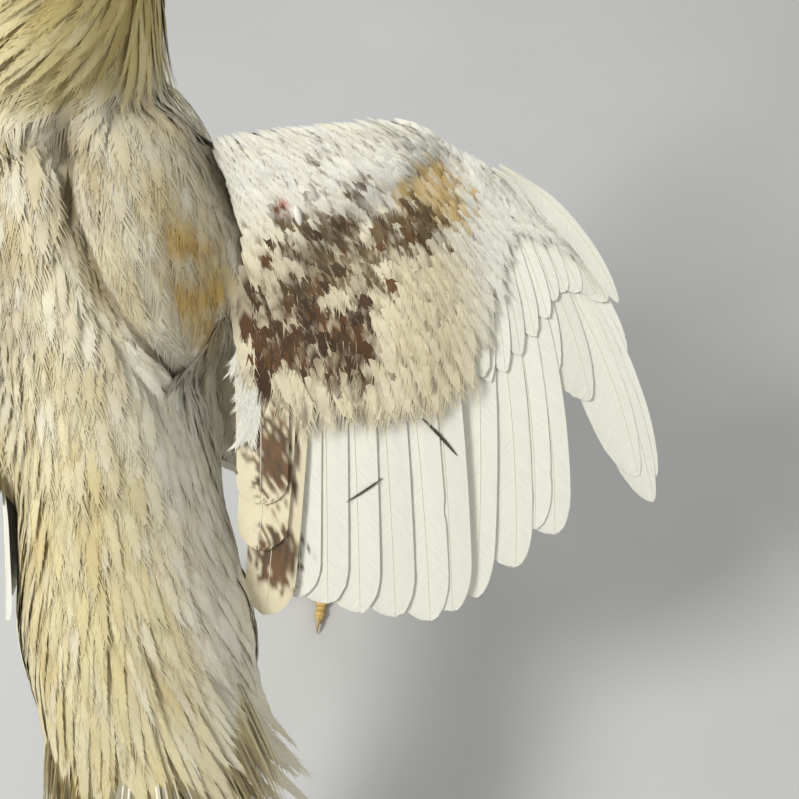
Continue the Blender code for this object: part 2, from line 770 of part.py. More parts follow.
def half_tail(side):
    """The stiff feathers, sickle, side hangers and coverts of one side of the tail."""
    pieces = []
    for i in range(TAIL_PAIRS):
        root = tail_root(0.052, side * (0.0035 + 0.0021 * i), 0.005 - 0.0040 * i)
        turns = (side * (3 + 6.6 * i), TAIL_PITCH - 1 - 2.6 * i, -side * (14 + 18 * i))
        length = TAIL_LENGTH - 0.006 * i
        pieces.append(arched_vane("fan", root, turns, length, 0.037, 16, ROUND_TIP, FLIGHT_THICKNESS))
    root = tail_root(0.048, side * 0.006, 0.0120)
    turns = (side * 5, -12, -side * 62)
    sickle = arched_vane("sickle", root, turns, SICKLE_LENGTH, 0.022, 50, SHARP_TIP, FLIGHT_THICKNESS, 6)
    pieces.append(sickle)
    for i in range(2):
        root = tail_root(0.044 - 0.006 * i, side * (0.010 + 0.003 * i), 0.010 - 0.004 * i)
        turns = (side * (10 + 6 * i), -20 - 3 * i, -side * (60 + 5 * i))
        length = HANGER_LENGTH - 0.018 * i
        hanger = arched_vane("hanger", root, turns, length, 0.019, 42, SHARP_TIP, FLIGHT_THICKNESS, steps=4)
        pieces.append(hanger)
    for i in range(2):
        root = tail_root(0.022, side * (0.006 + 0.008 * i), 0.015 - 0.006 * i)
        turns = (side * (5 + 8 * i), TAIL_PITCH + 4 - 4 * i, -side * (20 + 20 * i))
        length = TAIL_LENGTH / 2
        pieces.append(arched_vane("tail_covert", root, turns, length, 0.030, 16, SHARP_TIP, COVERT_THICKNESS))
    return pieces


def make_tail(torso):
    """The short drooping tail: a fan of stiff feathers, the sickles and their coverts."""
    widths = (0.030, 0.029, 0.025, 0.018, 0.011, 0.004)
    spine = [(tail_root(0.017 * i, 0, 0), w, w * 0.80, w * 0.72) for i, w in enumerate(widths)]
    tail = join("tail", [tube("tail", spine, RIGHT, 12), *half_tail(1), *half_tail(-1)])
    return fit_to(tail, torso)


def head_point(ahead, across, above):
    """A point of the head's own frame, which is turned a little to the bird's right."""
    forward = Vector((math.sin(HEAD_YAW), math.cos(HEAD_YAW), 0))
    right = Vector((math.cos(HEAD_YAW), -math.sin(HEAD_YAW), 0))
    return HEAD_CENTRE + forward * ahead + right * across + UP * above


def head_axes(ahead, across, above):
    """Half axes of an ellipsoid lined up with the head."""
    origin = head_point(0, 0, 0)
    return (
        head_point(ahead, 0, 0) - origin,
        head_point(0, across, 0) - origin,
        head_point(0, 0, above) - origin,
    )


def make_skull():
    """The head's own form, without lids, brows or comb."""
    stations = 10
    first, last = HEAD[0][0], HEAD[-1][0]
    side = head_point(0, 1, 0) - head_point(0, 0, 0)
    rings = []
    for i in range(stations):
        ahead = first + (last - first) * share(i, stations)
        middle, width, rise, drop = hermite(HEAD, ahead)
        centre = head_point(ahead, 0, middle)
        rings.append(ring(centre, side, UP, width, rise, drop, 16))
    return skin("head", rings, FLESH)


def lid_ring(side):
    """The rim of the lids round one eye."""
    mesh = bmesh.new()
    ahead, across, above = EYE_PLACE
    rim, thick = EYE_RADIUS * 0.93, 0.0013
    loops = []
    for i in range(12):
        turn = 2 * math.pi * i / 12
        loop = []
        for k in range(4):
            roll = 2 * math.pi * k / 4
            radius = rim + thick * math.cos(roll)
            out = across + 0.0030 + thick * math.sin(roll)
            along = ahead + 1.08 * radius * math.cos(turn)
            height = above + 0.82 * radius * math.sin(turn)
            place = (along, side * out, height)
            loop.append(mesh.verts.new(head_point(*place)))
        loops.append(loop)
    for i in range(12):
        for k in range(4):
            near, far = loops[i], loops[(i + 1) % 12]
            mesh.faces.new((near[k], near[(k + 1) % 4], far[(k + 1) % 4], far[k]))
    return new_object("lid", mesh, FLESH)


def make_eye(name, side, grow=0.0):
    """One eyeball, set deep behind its lids."""
    ahead, across, above = EYE_PLACE
    radius = EYE_RADIUS + grow
    centre = head_point(ahead, side * across * 0.88, above)
    return ellipsoid(name, centre, head_axes(radius, radius, radius), 10, 7, EYE)


def make_head():
    """The head with brows, lids, ear lobes, dewlap and the cut of the eye sockets."""
    pieces = [make_skull()]
    for side in (1, -1):
        pieces.append(lid_ring(side))
        brow = head_point(EYE_PLACE[0] + 0.001, side * 0.0135, EYE_PLACE[2] + 0.0068)
        pieces.append(ellipsoid("brow", brow, head_axes(0.0100, 0.0042, 0.0026), 8, 5))
        lobe = head_point(-0.0095, side * 0.0150, -0.0095)
        pieces.append(ellipsoid("ear_lobe", lobe, head_axes(0.0038, 0.0030, 0.0058), 6, 4))
        cheek = head_point(0.0135, side * 0.0105, -0.0105)
        pieces.append(ellipsoid("wattle", cheek, head_axes(0.0052, 0.0030, 0.0062), 6, 4))
    dewlap = head_point(0.004, 0, -0.0185)
    pieces.append(ellipsoid("dewlap", dewlap, head_axes(0.0165, 0.0042, 0.0060), 8, 4))
    head = join("head", pieces)
    for side in (1, -1):
        combine(head, [make_eye("socket", side, GAP)], "DIFFERENCE")
    return head


def beak_ring(ahead, low, high, width, upper, segments=12):
    """A section of one half of the beak between two heights."""
    middle = (low + high) / 2
    half = (high - low) / 2
    points = []
    for i in range(segments):
        turn = 2 * math.pi * i / segments
        height = middle + half * math.sin(turn)
        if (math.sin(turn) < 0) == upper:
            mouth = low if upper else high
            height = mouth + (middle - mouth) * (1 - abs(math.sin(turn)))
        points.append(head_point(ahead, width * math.cos(turn), height))
    return points


def make_beak_halves(head):
    """The hooked upper beak with its nostrils, and the lower beak, with the mouth line between."""
    mouth = (-0.0058, -0.0060, -0.0065, -0.0074, -0.0090, -0.0112)
    ridge = (0.0058, 0.0048, 0.0030, 0.0000, -0.0046, -0.0104)
    width = (0.0092, 0.0082, 0.0068, 0.0050, 0.0030, 0.0009)
    chin = (-0.0132, -0.0130, -0.0122, -0.0106)
    rings = []
    for i, (low, high, half) in enumerate(zip(mouth, ridge, width)):
        ahead = BEAK_ROOT + (BEAK_TIP - BEAK_ROOT) * share(i, len(mouth))
        rings.append(beak_ring(ahead, low - 0.0026 * (i == 5), high, half, True))
    upper = skin("beak_upper", rings, HORN)
    for side in (1, -1):
        nostril = head_point(0.0325, side * 0.0058, -0.0020)
        hole = ellipsoid("nostril", nostril, head_axes(0.0022, 0.0016, 0.0010), 8, 5)
        combine(upper, [hole], "DIFFERENCE")
    rings = []
    for i, low in enumerate(chin):
        ahead = BEAK_ROOT + (LOWER_TIP - BEAK_ROOT) * share(i, len(chin))
        top = between(mouth, (ahead - BEAK_ROOT) / (BEAK_TIP - BEAK_ROOT)) - 0.0005
        rings.append(beak_ring(ahead, low, top, between(width, share(i, 4) * 0.66) * 0.86, False))
    lower = skin("beak_lower", rings, HORN)
    fit_to(upper, head)
    fit_to(lower, head)


def make_comb(head):
    """The low pea comb: a middle row of knobs between two lower ones."""
    pieces = []
    rows = ((0.0, 5, 0.0044, 0.0054), (0.0048, 3, 0.0036, 0.0038), (-0.0048, 3, 0.0036, 0.0038))
    for across, count, radius, height in rows:
        for i in range(count):
            ahead = 0.0015 + 0.0215 * share(i, count)
            middle, _, rise, _ = hermite(HEAD, ahead)
            place = head_point(ahead, across, middle + rise + 0.0006 - abs(across) * 0.16)
            size = 0.85 + 0.3 * math.sin(math.pi * share(i, count))
            pieces.append(
                ellipsoid("knob", place, head_axes(0.0036, radius * size * 0.75, height * size), 6, 4)
            )
    comb = join("comb", pieces)
    fit_to(comb, head)


def limb_names(side):
    """The word for a side of the bird."""
    return "right" if side > 0 else "left"


def make_thigh(side, *neighbours):
    """The feathered drumstick, from the flank to above the hock."""
    spine = [(Vector((side * x, y, z)), w, d, d) for x, y, z, w, d in THIGH]
    thigh = tube("thigh_" + limb_names(side), spine, RIGHT, 14)
    return fit_to(thigh, *neighbours)


def shank_line(height, side):
    """The middle of the shank at a height."""
    t = (SHANK_TOP + 0.008 - height) / SHANK_TOP
    return Vector((side * (0.067 + 0.001 * t), -0.084 + 0.018 * t, height))


def make_shank(side, thigh):
    """The bare shank, with a raised front scute at each step."""
    spine = []
    for height, width, front, back in (
        (SHANK_TOP + 0.018, 0.0060, 0.0070, 0.0070),
        (SHANK_TOP + 0.006, 0.0090, 0.0098, 0.0105),
        (SHANK_TOP - 0.006, 0.0096, 0.0104, 0.0112),
    ):
        spine.append((shank_line(height, side), width, front, back))
    top, bottom = SHANK_TOP - 0.018, 0.028
    for i in range(SCUTES):
        upper = top - (top - bottom) * i / SCUTES
        lower = top - (top - bottom) * (i + 0.86) / SCUTES
        slim = 0.0082 + 0.0010 * abs(2 * share(i, SCUTES) - 1)
        spine.append((shank_line(upper, side), slim - 0.0006, slim, slim))
        spine.append((shank_line(lower, side), slim - 0.0002, slim + 0.0011, slim))
    spine.append((shank_line(0.022, side), 0.0098, 0.0100, 0.0092))
    spine.append((shank_line(0.012, side), 0.0085, 0.0088, 0.0080))
    shank = tube("shank_" + limb_names(side), spine, RIGHT * -1, 12, SCALES)
    return fit_to(shank, thigh)


def toe_tube(name, side, turn, length, radius):
    """A toe with a pad at each joint, flat where it rests."""
    heading = Vector((side * -math.sin(math.radians(turn)), math.cos(math.radians(turn)), 0))
    across = heading.cross(UP)
    root = Vector((side * FOOT_SPREAD, FOOT_FORWARD, 0))
    rings = []
    stations = 7
    for i in range(stations):
        t = share(i, stations)
        pad = 1.0 + 0.13 * math.cos(2 * math.pi * (3 * t - 0.5))
        thick = radius * pad * between((1.25, 1.1, 1.0, 0.9, 0.72), t)
        points = ring(root + heading * (length * t) + UP * (thick * 0.9), across, UP, thick, thick, thick, 8)
        rings.append([Vector((p.x, p.y, max(p.z, 0.0))) for p in points])
    return skin(name, rings, SCALES)


def make_foot(side, shank):
    """Four toes on one sole."""
    pieces = [toe_tube("foot_" + limb_names(side), side, turn, length, radius)
              for _, turn, length, radius in PRINT_TOES]
    rings = []
    for height, size in ((0.0, 0.86), (0.006, 1.0), (0.013, 0.94), (0.019, 0.72)):
        centre = Vector((side * FOOT_SPREAD, FOOT_FORWARD, height))
        rings.append(ring(centre, RIGHT, Vector((0, 1, 0)), 0.0105 * size, 0.0115 * size, 0.0105 * size, 10))
    pieces.append(skin("sole", rings, SCALES))
    foot = join("foot_" + limb_names(side), pieces)
    return fit_to(foot, shank)


def make_claws(side, foot):
    """A curved claw on each toe, clear of the floor."""
    for word, turn, length, radius in PRINT_TOES:
        heading = Vector((side * -math.sin(math.radians(turn)), math.cos(math.radians(turn)), 0))
        root = Vector((side * FOOT_SPREAD, FOOT_FORWARD, 0)) + heading * (length - 0.0035)
        spine = []
        reach = 0.0165 if word != "rear" else 0.0135
        for i in range(4):
            t = share(i, 4)
            size = radius * between((0.50, 0.50, 0.40, 0.26, 0.07), t)
            height = 0.0052 + 0.0012 * math.sin(math.pi * t) - 0.0036 * t**2
            spine.append((root + heading * (reach * t) + UP * height, size * 0.75, size, size * 0.8))
        claw = tube("claw_" + limb_names(side) + "_" + word, spine, heading.cross(UP), 6, HORN)
        fit_to(claw, foot)


def make_spur(side, shank):
    """The spur on the inner back of the shank."""
    root = shank_line(0.052, side)
    heading = Vector((side * -0.55, -0.80, 0.05)).normalized()
    spine = []
    for i in range(5):
        t = share(i, 5)
        size = between((0.0048, 0.0040, 0.0030, 0.0018, 0.0005), t)
        bend = UP * (0.006 * t**2)
        spine.append((root + heading * (0.003 + 0.024 * t) + bend, size, size, size))
    spur = tube("spur_" + limb_names(side), spine, heading.cross(UP), 8, HORN)
    fit_to(spur, shank)


def make_leg(side, torso, wing):
    """One leg, from the drumstick to the claws. The folded wing lies over the left one."""
    thigh = make_thigh(side, *[part for part in (torso, wing) if part])
    shank = make_shank(side, thigh)
    foot = make_foot(side, shank)
    make_claws(side, foot)
    make_spur(side, shank)


def centre_on_floor(objects):
    """Moves the bird so that the middle of its box is over the origin, with its soles on Z = 0."""
    corners = [vertex.co for obj in objects for vertex in obj.data.vertices]
    low = Vector([min(c[i] for c in corners) for i in range(3)])
    high = Vector([max(c[i] for c in corners) for i in range(3)])
    shift = Vector(((low.x + high.x) / -2, (low.y + high.y) / -2, -low.z))
    for obj in objects:
        obj.data.transform(Matrix.Translation(shift))


def main():
    core = make_torso()
    neck_core = tube("neck_guide", neck_spine(), RIGHT, 32)
    guide = guide_tree([core, neck_core])
    bpy.data.objects.remove(neck_core)
    torso = make_saddled_torso(core, guide_tree([core]))
    head = make_head()
    make_beak_halves(head)
    make_comb(head)
    make_eye("eye_right", 1)
    make_eye("eye_left", -1)
    shoulder = make_shoulder(torso)
    make_neck(torso, shoulder, head, guide)
    forearm_core = make_arm("forearm_core", ARM_ROOT + GAP, ARM[-1][0], 9)
    make_forearm(shoulder, torso)
    make_hand(forearm_core)
    bpy.data.objects.remove(forearm_core)
    wing = make_folded_wing(torso)
    make_tail(torso)
    make_leg(1, torso, None)
    make_leg(-1, torso, wing)
    centre_on_floor(list(PARTS.objects))


for leftover in list(bpy.data.objects):
    bpy.data.objects.remove(leftover)
PARTS = bpy.data.collections.new("aseel_cock")
SPACES = {}
bpy.context.scene.collection.children.link(PARTS)
main()
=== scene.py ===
"""The looks of a life-size Aseel cock with its right wing spread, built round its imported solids.

Everything is laid out in the bird's own design frame, as in part.py: metres, +Z up, beak towards +Y,
right side towards +X, the midline on X = 0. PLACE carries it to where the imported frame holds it.
Body coordinates are (across, along, above): along runs up the back, above stands on the back.
"""

import math

import bmesh
import bpy
import numpy as np
from mathutils import Matrix, Vector
from mathutils.bvhtree import BVHTree


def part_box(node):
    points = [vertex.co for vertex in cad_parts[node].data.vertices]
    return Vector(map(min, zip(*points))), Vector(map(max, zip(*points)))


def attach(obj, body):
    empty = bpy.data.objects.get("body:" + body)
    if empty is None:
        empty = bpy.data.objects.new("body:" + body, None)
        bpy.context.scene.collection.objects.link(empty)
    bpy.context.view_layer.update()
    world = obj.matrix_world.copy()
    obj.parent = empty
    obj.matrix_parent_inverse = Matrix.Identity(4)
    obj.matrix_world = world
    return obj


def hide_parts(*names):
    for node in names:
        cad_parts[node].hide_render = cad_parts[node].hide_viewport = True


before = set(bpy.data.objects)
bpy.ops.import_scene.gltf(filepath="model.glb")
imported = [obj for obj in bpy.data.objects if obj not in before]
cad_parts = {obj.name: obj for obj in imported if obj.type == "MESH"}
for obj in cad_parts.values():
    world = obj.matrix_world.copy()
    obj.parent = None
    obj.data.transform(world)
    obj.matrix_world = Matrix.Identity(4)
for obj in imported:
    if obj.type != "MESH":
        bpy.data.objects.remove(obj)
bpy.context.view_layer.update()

SEED = 7
BODY_PITCH = math.radians(36)
SHOULDER = np.array((0.0, 0.0, 0.43))
RIGHT = np.array((1.0, 0.0, 0.0))
UP = np.array((0.0, 0.0, 1.0))
FORWARD = np.array((0.0, math.cos(BODY_PITCH), math.sin(BODY_PITCH)))
DORSAL = np.array((0.0, -math.sin(BODY_PITCH), math.cos(BODY_PITCH)))

# Along the body: place, middle, half width, rise of the back, drop of the belly.
TORSO = (
    (-0.304, -0.008, 0.034, 0.018, 0.014),
    (-0.284, -0.010, 0.052, 0.032, 0.026),
    (-0.250, -0.014, 0.060, 0.041, 0.035),
    (-0.215, -0.020, 0.058, 0.050, 0.044),
    (-0.175, -0.026, 0.056, 0.058, 0.053),
    (-0.130, -0.032, 0.057, 0.065, 0.063),
    (-0.085, -0.036, 0.067, 0.071, 0.072),
    (-0.040, -0.038, 0.074, 0.074, 0.077),
    (0.000, -0.041, 0.070, 0.074, 0.073),
    (0.032, -0.047, 0.058, 0.062, 0.057),
    (0.052, -0.054, 0.040, 0.040, 0.038),
    (0.062, -0.057, 0.018, 0.018, 0.017),
)
# Up the neck: height, sideways lean, forward place, half width, half depth.
NECK = (
    (0.432, 0.000, 0.010, 0.056, 0.052),
    (0.470, 0.006, 0.030, 0.050, 0.049),
    (0.510, 0.021, 0.050, 0.045, 0.045),
    (0.550, 0.032, 0.064, 0.039, 0.040),
    (0.590, 0.037, 0.073, 0.0325, 0.0345),
    (0.625, 0.039, 0.078, 0.0260, 0.0285),
    (0.645, 0.0395, 0.082, 0.0200, 0.0230),
    (0.662, 0.0400, 0.087, 0.0140, 0.0150),
)
# Down the drumstick: height, across, forward, half width, half depth.
THIGH = (
    (0.163, 0.0665, -0.080, 0.0105, 0.0120),
    (0.179, 0.0655, -0.074, 0.0150, 0.0175),
    (0.204, 0.0630, -0.064, 0.0225, 0.0280),
    (0.236, 0.0590, -0.054, 0.0305, 0.0410),
    (0.268, 0.0510, -0.050, 0.0355, 0.0500),
    (0.300, 0.0410, -0.048, 0.0355, 0.0490),
    (0.335, 0.0310, -0.044, 0.0320, 0.0400),
)
# The head in its own frame: forward place, middle height, half width, rise, drop.
HEAD_CENTRE = np.array((0.040, 0.096, 0.664))
HEAD_YAW = math.radians(14)
HEAD = (
    (-0.028, -0.004, 0.006, 0.006, 0.007),
    (-0.024, -0.003, 0.0125, 0.012, 0.013),
    (-0.014, -0.001, 0.0165, 0.0155, 0.0175),
    (0.000, 0.000, 0.0178, 0.0172, 0.0185),
    (0.010, 0.000, 0.0170, 0.0165, 0.0170),
    (0.018, -0.001, 0.0145, 0.0140, 0.0145),
    (0.025, -0.003, 0.0110, 0.0100, 0.0110),
    (0.030, -0.005, 0.0075, 0.0060, 0.0070),
)
EYE_PLACE = (0.0085, 0.0140, 0.0030)
EYE_SET = 0.88
EYE_RADIUS = 0.0056

# Across the wing's arm: distance from the midline, middle of the chord, half chord, half thickness.
ARM = (
    (0.045, -0.050, 0.046, 0.0125),
    (0.077, -0.050, 0.050, 0.0115),
    (0.100, -0.050, 0.050, 0.0105),
    (0.125, -0.0395, 0.0400, 0.0098),
    (0.150, -0.0290, 0.0300, 0.0092),
    (0.170, -0.0235, 0.0215, 0.0085),
    (0.184, -0.0225, 0.0150, 0.0075),
    (0.191, -0.0240, 0.0080, 0.0040),
)
ARM_ROOT = 0.077
ARM_CAMBER = 0.020
ARM_CHORD = 0.26
SPAN_DROOP = 0.012
SPAN = 0.2
# Along the hand: across the span, along the chord, half chord, half thickness.
HAND = (
    (0.183, -0.026, 0.0120, 0.0060),
    (0.200, -0.035, 0.0130, 0.0062),
    (0.220, -0.047, 0.0105, 0.0052),
    (0.240, -0.066, 0.0070, 0.0040),
    (0.251, -0.080, 0.0032, 0.0022),
)
HAND_LEVEL = -0.0030
LEADING_EDGE = (
    (0.045, 0.0000), (0.077, 0.0000), (0.110, 0.0000), (0.135, -0.0005), (0.158, -0.0010),
    (0.176, -0.0050), (0.190, -0.0140), (0.205, -0.0240), (0.220, -0.0340), (0.236, -0.0500),
    (0.248, -0.0640), (0.256, -0.0760),
)

PRIMARY_TIPS = (
    (0.1815, -0.2628), (0.2052, -0.2489), (0.2182, -0.2290), (0.2286, -0.2335), (0.2385, -0.1470),
    (0.2560, -0.1625), (0.2790, -0.2075), (0.2865, -0.2230), (0.2890, -0.2090), (0.2780, -0.1420),
)
INNER_PRIMARY_ROOTS = ((0.199, -0.042), (0.215, -0.053))
OUTER_PRIMARY_ROOTS = ((0.220, -0.056), (0.247, -0.075))
SECONDARY_TIPS = (
    (0.1677, -0.2680), (0.1550, -0.2716), (0.1364, -0.2670), (0.1177, -0.2617), (0.1010, -0.2545),
    (0.0866, -0.2486),
)
SECONDARY_ROOTS = ((0.172, -0.040), (0.108, -0.090))
TERTIAL_TIPS = ((0.0675, -0.2558), (0.0690, -0.2200), (0.0735, -0.1950))
TERTIAL_ROOTS = ((0.100, -0.094), (0.085, -0.087))
COVERT_TIPS = (
    (0.1990, -0.1430), (0.1830, -0.1500), (0.1660, -0.1520), (0.1490, -0.1500), (0.1320, -0.1480),
    (0.1150, -0.1470), (0.0980, -0.1440), (0.0830, -0.1380),
)
COVERT_ROOTS = ((0.177, -0.030), (0.090, -0.080))
HAND_COVERT_TIPS = (
    (0.2020, -0.1460), (0.2110, -0.1420), (0.2200, -0.1340), (0.2290, -0.1250), (0.2371, -0.1160),
    (0.2425, -0.1070), (0.2485, -0.1030), (0.2561, -0.1040), (0.2642, -0.1060), (0.2703, -0.1110),
)
HAND_COVERT_ROOTS = ((0.196, -0.034), (0.238, -0.058))
ALULA_TIPS = ((0.2660, -0.0960), (0.2715, -0.1040), (0.2755, -0.1120))
ALULA_ROOTS = ((0.212, -0.036), (0.220, -0.034))
# Two stray dark barbs on the secondaries: one end, the other end, half width.
DARK_BARBS = (
    ((0.1640, -0.1610), (0.1800, -0.1830), 0.00085),
    ((0.1391, -0.1899), (0.1184, -0.2004), 0.00065),
)

# Over the right shoulder and the left flank: along, middle angle, half angle, height of the bulge.
SHOULDER_BULGE = (
    (-0.128, 42.0, 6.0, 0.004),
    (-0.112, 45.0, 17.0, 0.009),
    (-0.085, 48.0, 25.0, 0.0150),
    (-0.050, 50.0, 31.0, 0.0190),
    (-0.020, 50.0, 32.0, 0.0190),
    (0.004, 48.0, 25.0, 0.013),
    (0.014, 45.0, 12.0, 0.005),
)
FOLDED_ARM = (
    (-0.172, 12.0, 8.0, 0.004),
    (-0.155, 11.0, 20.0, 0.010),
    (-0.120, 9.0, 28.0, 0.0145),
    (-0.075, 6.0, 33.0, 0.018),
    (-0.035, 3.0, 33.0, 0.0185),
    (-0.008, 1.0, 24.0, 0.014),
    (0.004, 0.0, 10.0, 0.006),
)
TAIL_ROOT = (-0.272, -0.008)
TAIL_PITCH = -27.0

FOOT_SPREAD = 0.068
FOOT_FORWARD = -0.066
SHANK_TOP = 0.150
SIDE_WORDS = {1: "right", -1: "left"}

COAT_DEPTH = 0.0065
NECK_COAT_DEPTH = 0.0055
# Where the coats change, as heights: the hackle's foot and top, the drumstick's top and the bare shank.
HACKLE_FOOT = 0.508
HACKLE_TOP = 0.661
THIGH_COAT_TOP = 0.290
COAT_FOOT = 0.166
SKIN_VOXEL = 0.0035
FACE_VOXEL = 0.00062
COMB_VOXEL = 0.0005
NAPE_VOXEL = 0.0012

# Valleys in the plumage, as (across, along) lines: between the back and the folded-up shoulder, and
# between the shoulder and the wing.
SHOULDER_FOLD = (
    (0.017, 0.012), (0.010, -0.013), (0.006, -0.033), (0.016, -0.078), (0.030, -0.104), (0.056, -0.137),
)
WING_FOLD = ((0.066, 0.006), (0.072, -0.016), (0.086, -0.0515), (0.085, -0.070))

# Places behind the shoulder at which the seam between body and wing coverts is given.
FOLD_ALONG = (-0.006, 0.016, 0.0515, 0.090)

# Coloured patches on the wing laid flat: middle, half sizes.
BROWN_PATCH = ((0.0995, -0.108), (0.030, 0.0205))
STREAKED_PATCH = ((0.129, -0.075), (0.027, 0.028))
LOWER_PATCH = ((0.132, -0.118), (0.017, 0.024))
GOLD_PATCH = ((0.183, -0.046), (0.018, 0.017))
GOLD_RIM = ((0.168, -0.064), (0.019, 0.013))
UPPER_BLOT = ((0.0840, -0.170), (0.012, 0.023))
LOWER_BLOT = ((0.0775, -0.226), (0.012, 0.016))
BACK_GOLD = ((0.062, -0.080), (0.014, 0.036))
BARE_SPOT = (0.1078, -0.0440)


def tone(red, green, blue):
    """A colour seen on a screen, as the linear light that a shader takes."""
    seen = np.array((red, green, blue)) / 255
    return np.where(seen > 0.04045, ((seen + 0.055) / 1.055) ** 2.4, seen / 12.92)


WHITE = tone(238, 235, 219)
FLIGHT_WHITE = tone(238, 236, 219)
CREAM = tone(238, 226, 190)
PALE_CREAM = tone(234, 228, 202)
HACKLE_GOLD = tone(214, 195, 128)
HACKLE_SHADE = tone(170, 146, 80)
BACK_CREAM = tone(222, 212, 178)
SADDLE_CREAM = tone(226, 213, 166)
STRAW = tone(204, 178, 110)
UMBER_SHADE = tone(150, 128, 84)
GOLD = tone(206, 166, 74)
BROWN = tone(106, 66, 26)
DARK_BROWN = tone(56, 34, 12)
OLIVE_BROWN = tone(118, 100, 66)
SHAFT = tone(243, 238, 216)
FACE_RED = tone(176, 44, 34)
SKIN_PINK = tone(196, 130, 108)


def unit(vectors):
    """The vectors at length one."""
    size = np.linalg.norm(vectors, axis=-1, keepdims=True)
    return vectors / np.maximum(size, 1e-12)


def square_to(vectors, normals):
    """The vectors turned square to the normals, at length one."""
    return unit(vectors - normals * np.sum(vectors * normals, -1, keepdims=True))


def circle(count):
    """Angles evenly round a full turn."""
    return np.linspace(0, 2 * math.pi, count, endpoint=False)


def patch_reach(across, along, patch):
    """How far places are from a patch's middle, where its edge is at 1."""
    (middle_across, middle_along), (half_across, half_along) = patch
    return np.hypot((across - middle_across) / half_across, (along - middle_along) / half_along)


def smooth(low, high, value):
    """0 up to the low edge, 1 from the high edge, and an even curve between."""
    t = np.clip((value - low) / (high - low), 0, 1)
    return t * t * (3 - 2 * t)


def mix(first, second, share):
    """Colours between two, by a share for each point."""
    share = np.asarray(share)[..., None]
    return first * (1 - share) + second * share


def ripple(points, scale, seed):
    """A soft random value from -1 to 1 at each point, alike for near points."""
    chance = np.random.default_rng(seed)
    total = np.zeros(points.shape[:-1])
    for _ in range(6):
        direction = unit(chance.normal(size=points.shape[-1]))
        rate = chance.uniform(0.6, 1.7) * 2 * math.pi / scale
        total += np.sin(points @ direction * rate + chance.uniform(0, 6.28))
    return total / 3.4


def hermite(rows, key):
    """The row of a table at this key, on a smooth curve through its rows."""
    key = min(max(key, rows[0][0]), rows[-1][0])
    i = max(k for k in range(len(rows) - 1) if rows[k][0] <= key)
    first, second = rows[i], rows[i + 1]
    before, after = rows[max(i - 1, 0)], rows[min(i + 2, len(rows) - 1)]
    span = second[0] - first[0]
    t = (key - first[0]) / span
    found = []
    for column in range(1, len(first)):
        rate = (second[column] - before[column]) / (second[0] - before[0])
        next_rate = (after[column] - first[column]) / (after[0] - first[0])
        found.append(
            first[column] * (2 * t**3 - 3 * t**2 + 1)
            + second[column] * (3 * t**2 - 2 * t**3)
            + rate * span * (t**3 - 2 * t**2 + t)
            + next_rate * span * (t**3 - t**2)
        )
    return found


class Profile:
    """Sizes along a body part, on smooth curves through the rows of a table."""

    def __init__(self, rows):
        self.keys = np.linspace(rows[0][0], rows[-1][0], 240)
        self.columns = np.array([hermite(rows, key) for key in self.keys]).T

    def __call__(self, key):
        return [np.interp(key, self.keys, column) for column in self.columns]


TORSO_FORM = Profile(TORSO)
NECK_FORM = Profile(NECK)
THIGH_FORM = Profile(THIGH)
HEAD_FORM = Profile(HEAD)
ARM_FORM = Profile(ARM)
HAND_FORM = Profile(HAND)
EDGE_FORM = Profile(LEADING_EDGE)


def body(across, along, above):
    """Points of the body's pitched frame."""
    across, along, above = np.broadcast_arrays(across, along, above)
    return SHOULDER + across[..., None] * RIGHT + along[..., None] * FORWARD + above[..., None] * DORSAL


def body_coordinates(points):
    """Across, along and above for design points."""
    rest = points - SHOULDER
    return rest @ RIGHT, rest @ FORWARD, rest @ DORSAL


def torso_place(along, angle, lift, side=1):
    """Points over the torso: angle 0 is the flank, a quarter turn the spine; lift stands off it."""
    middle, width, rise, drop = TORSO_FORM(along)
    height = np.where(np.sin(angle) > 0, rise, drop)
    normal_across = side * np.cos(angle) / width
    normal_above = np.sin(angle) / height
    size = np.hypot(normal_across, normal_above)
    across = side * width * np.cos(angle) + lift * normal_across / size
    above = middle + height * np.sin(angle) + lift * normal_above / size
    return body(across, along, above)


def wing_place(across, along, above):
    """Points of the spread wing, which arches down behind and towards its tip."""
    behind = np.maximum(0.0, -along) / ARM_CHORD
    outward = np.maximum(0.0, across - ARM_ROOT) / SPAN
    return body(across, along, above - ARM_CAMBER * behind**2 - SPAN_DROOP * outward**2)


def head_axes():
    """Forward, right and up of the head, as rows."""
    sine, cosine = math.sin(HEAD_YAW), math.cos(HEAD_YAW)
    return np.array(((sine, cosine, 0), (cosine, -sine, 0), (0, 0, 1)))


def head_place(ahead, across, above):
    """Points of the head's own frame."""
    ahead, across, above = np.broadcast_arrays(ahead, across, above)
    return HEAD_CENTRE + np.stack((ahead, across, above), -1) @ head_axes()


def head_local(points):
    """Ahead, across and above in the head's own frame for design points."""
    return (points - HEAD_CENTRE) @ head_axes().T


def eye_centre(side):
    """The middle of one eyeball."""
    return head_place(EYE_PLACE[0], side * EYE_PLACE[1] * EYE_SET, EYE_PLACE[2])


eye_low, eye_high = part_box("eye_right")
PLACE = (np.array(eye_low) + np.array(eye_high)) / 2 - eye_centre(1)
TAIL_BASE = body(0.0, *TAIL_ROOT)
TAIL_BACK = np.array((0, -math.cos(math.radians(TAIL_PITCH)), math.sin(math.radians(TAIL_PITCH))))


# Materials


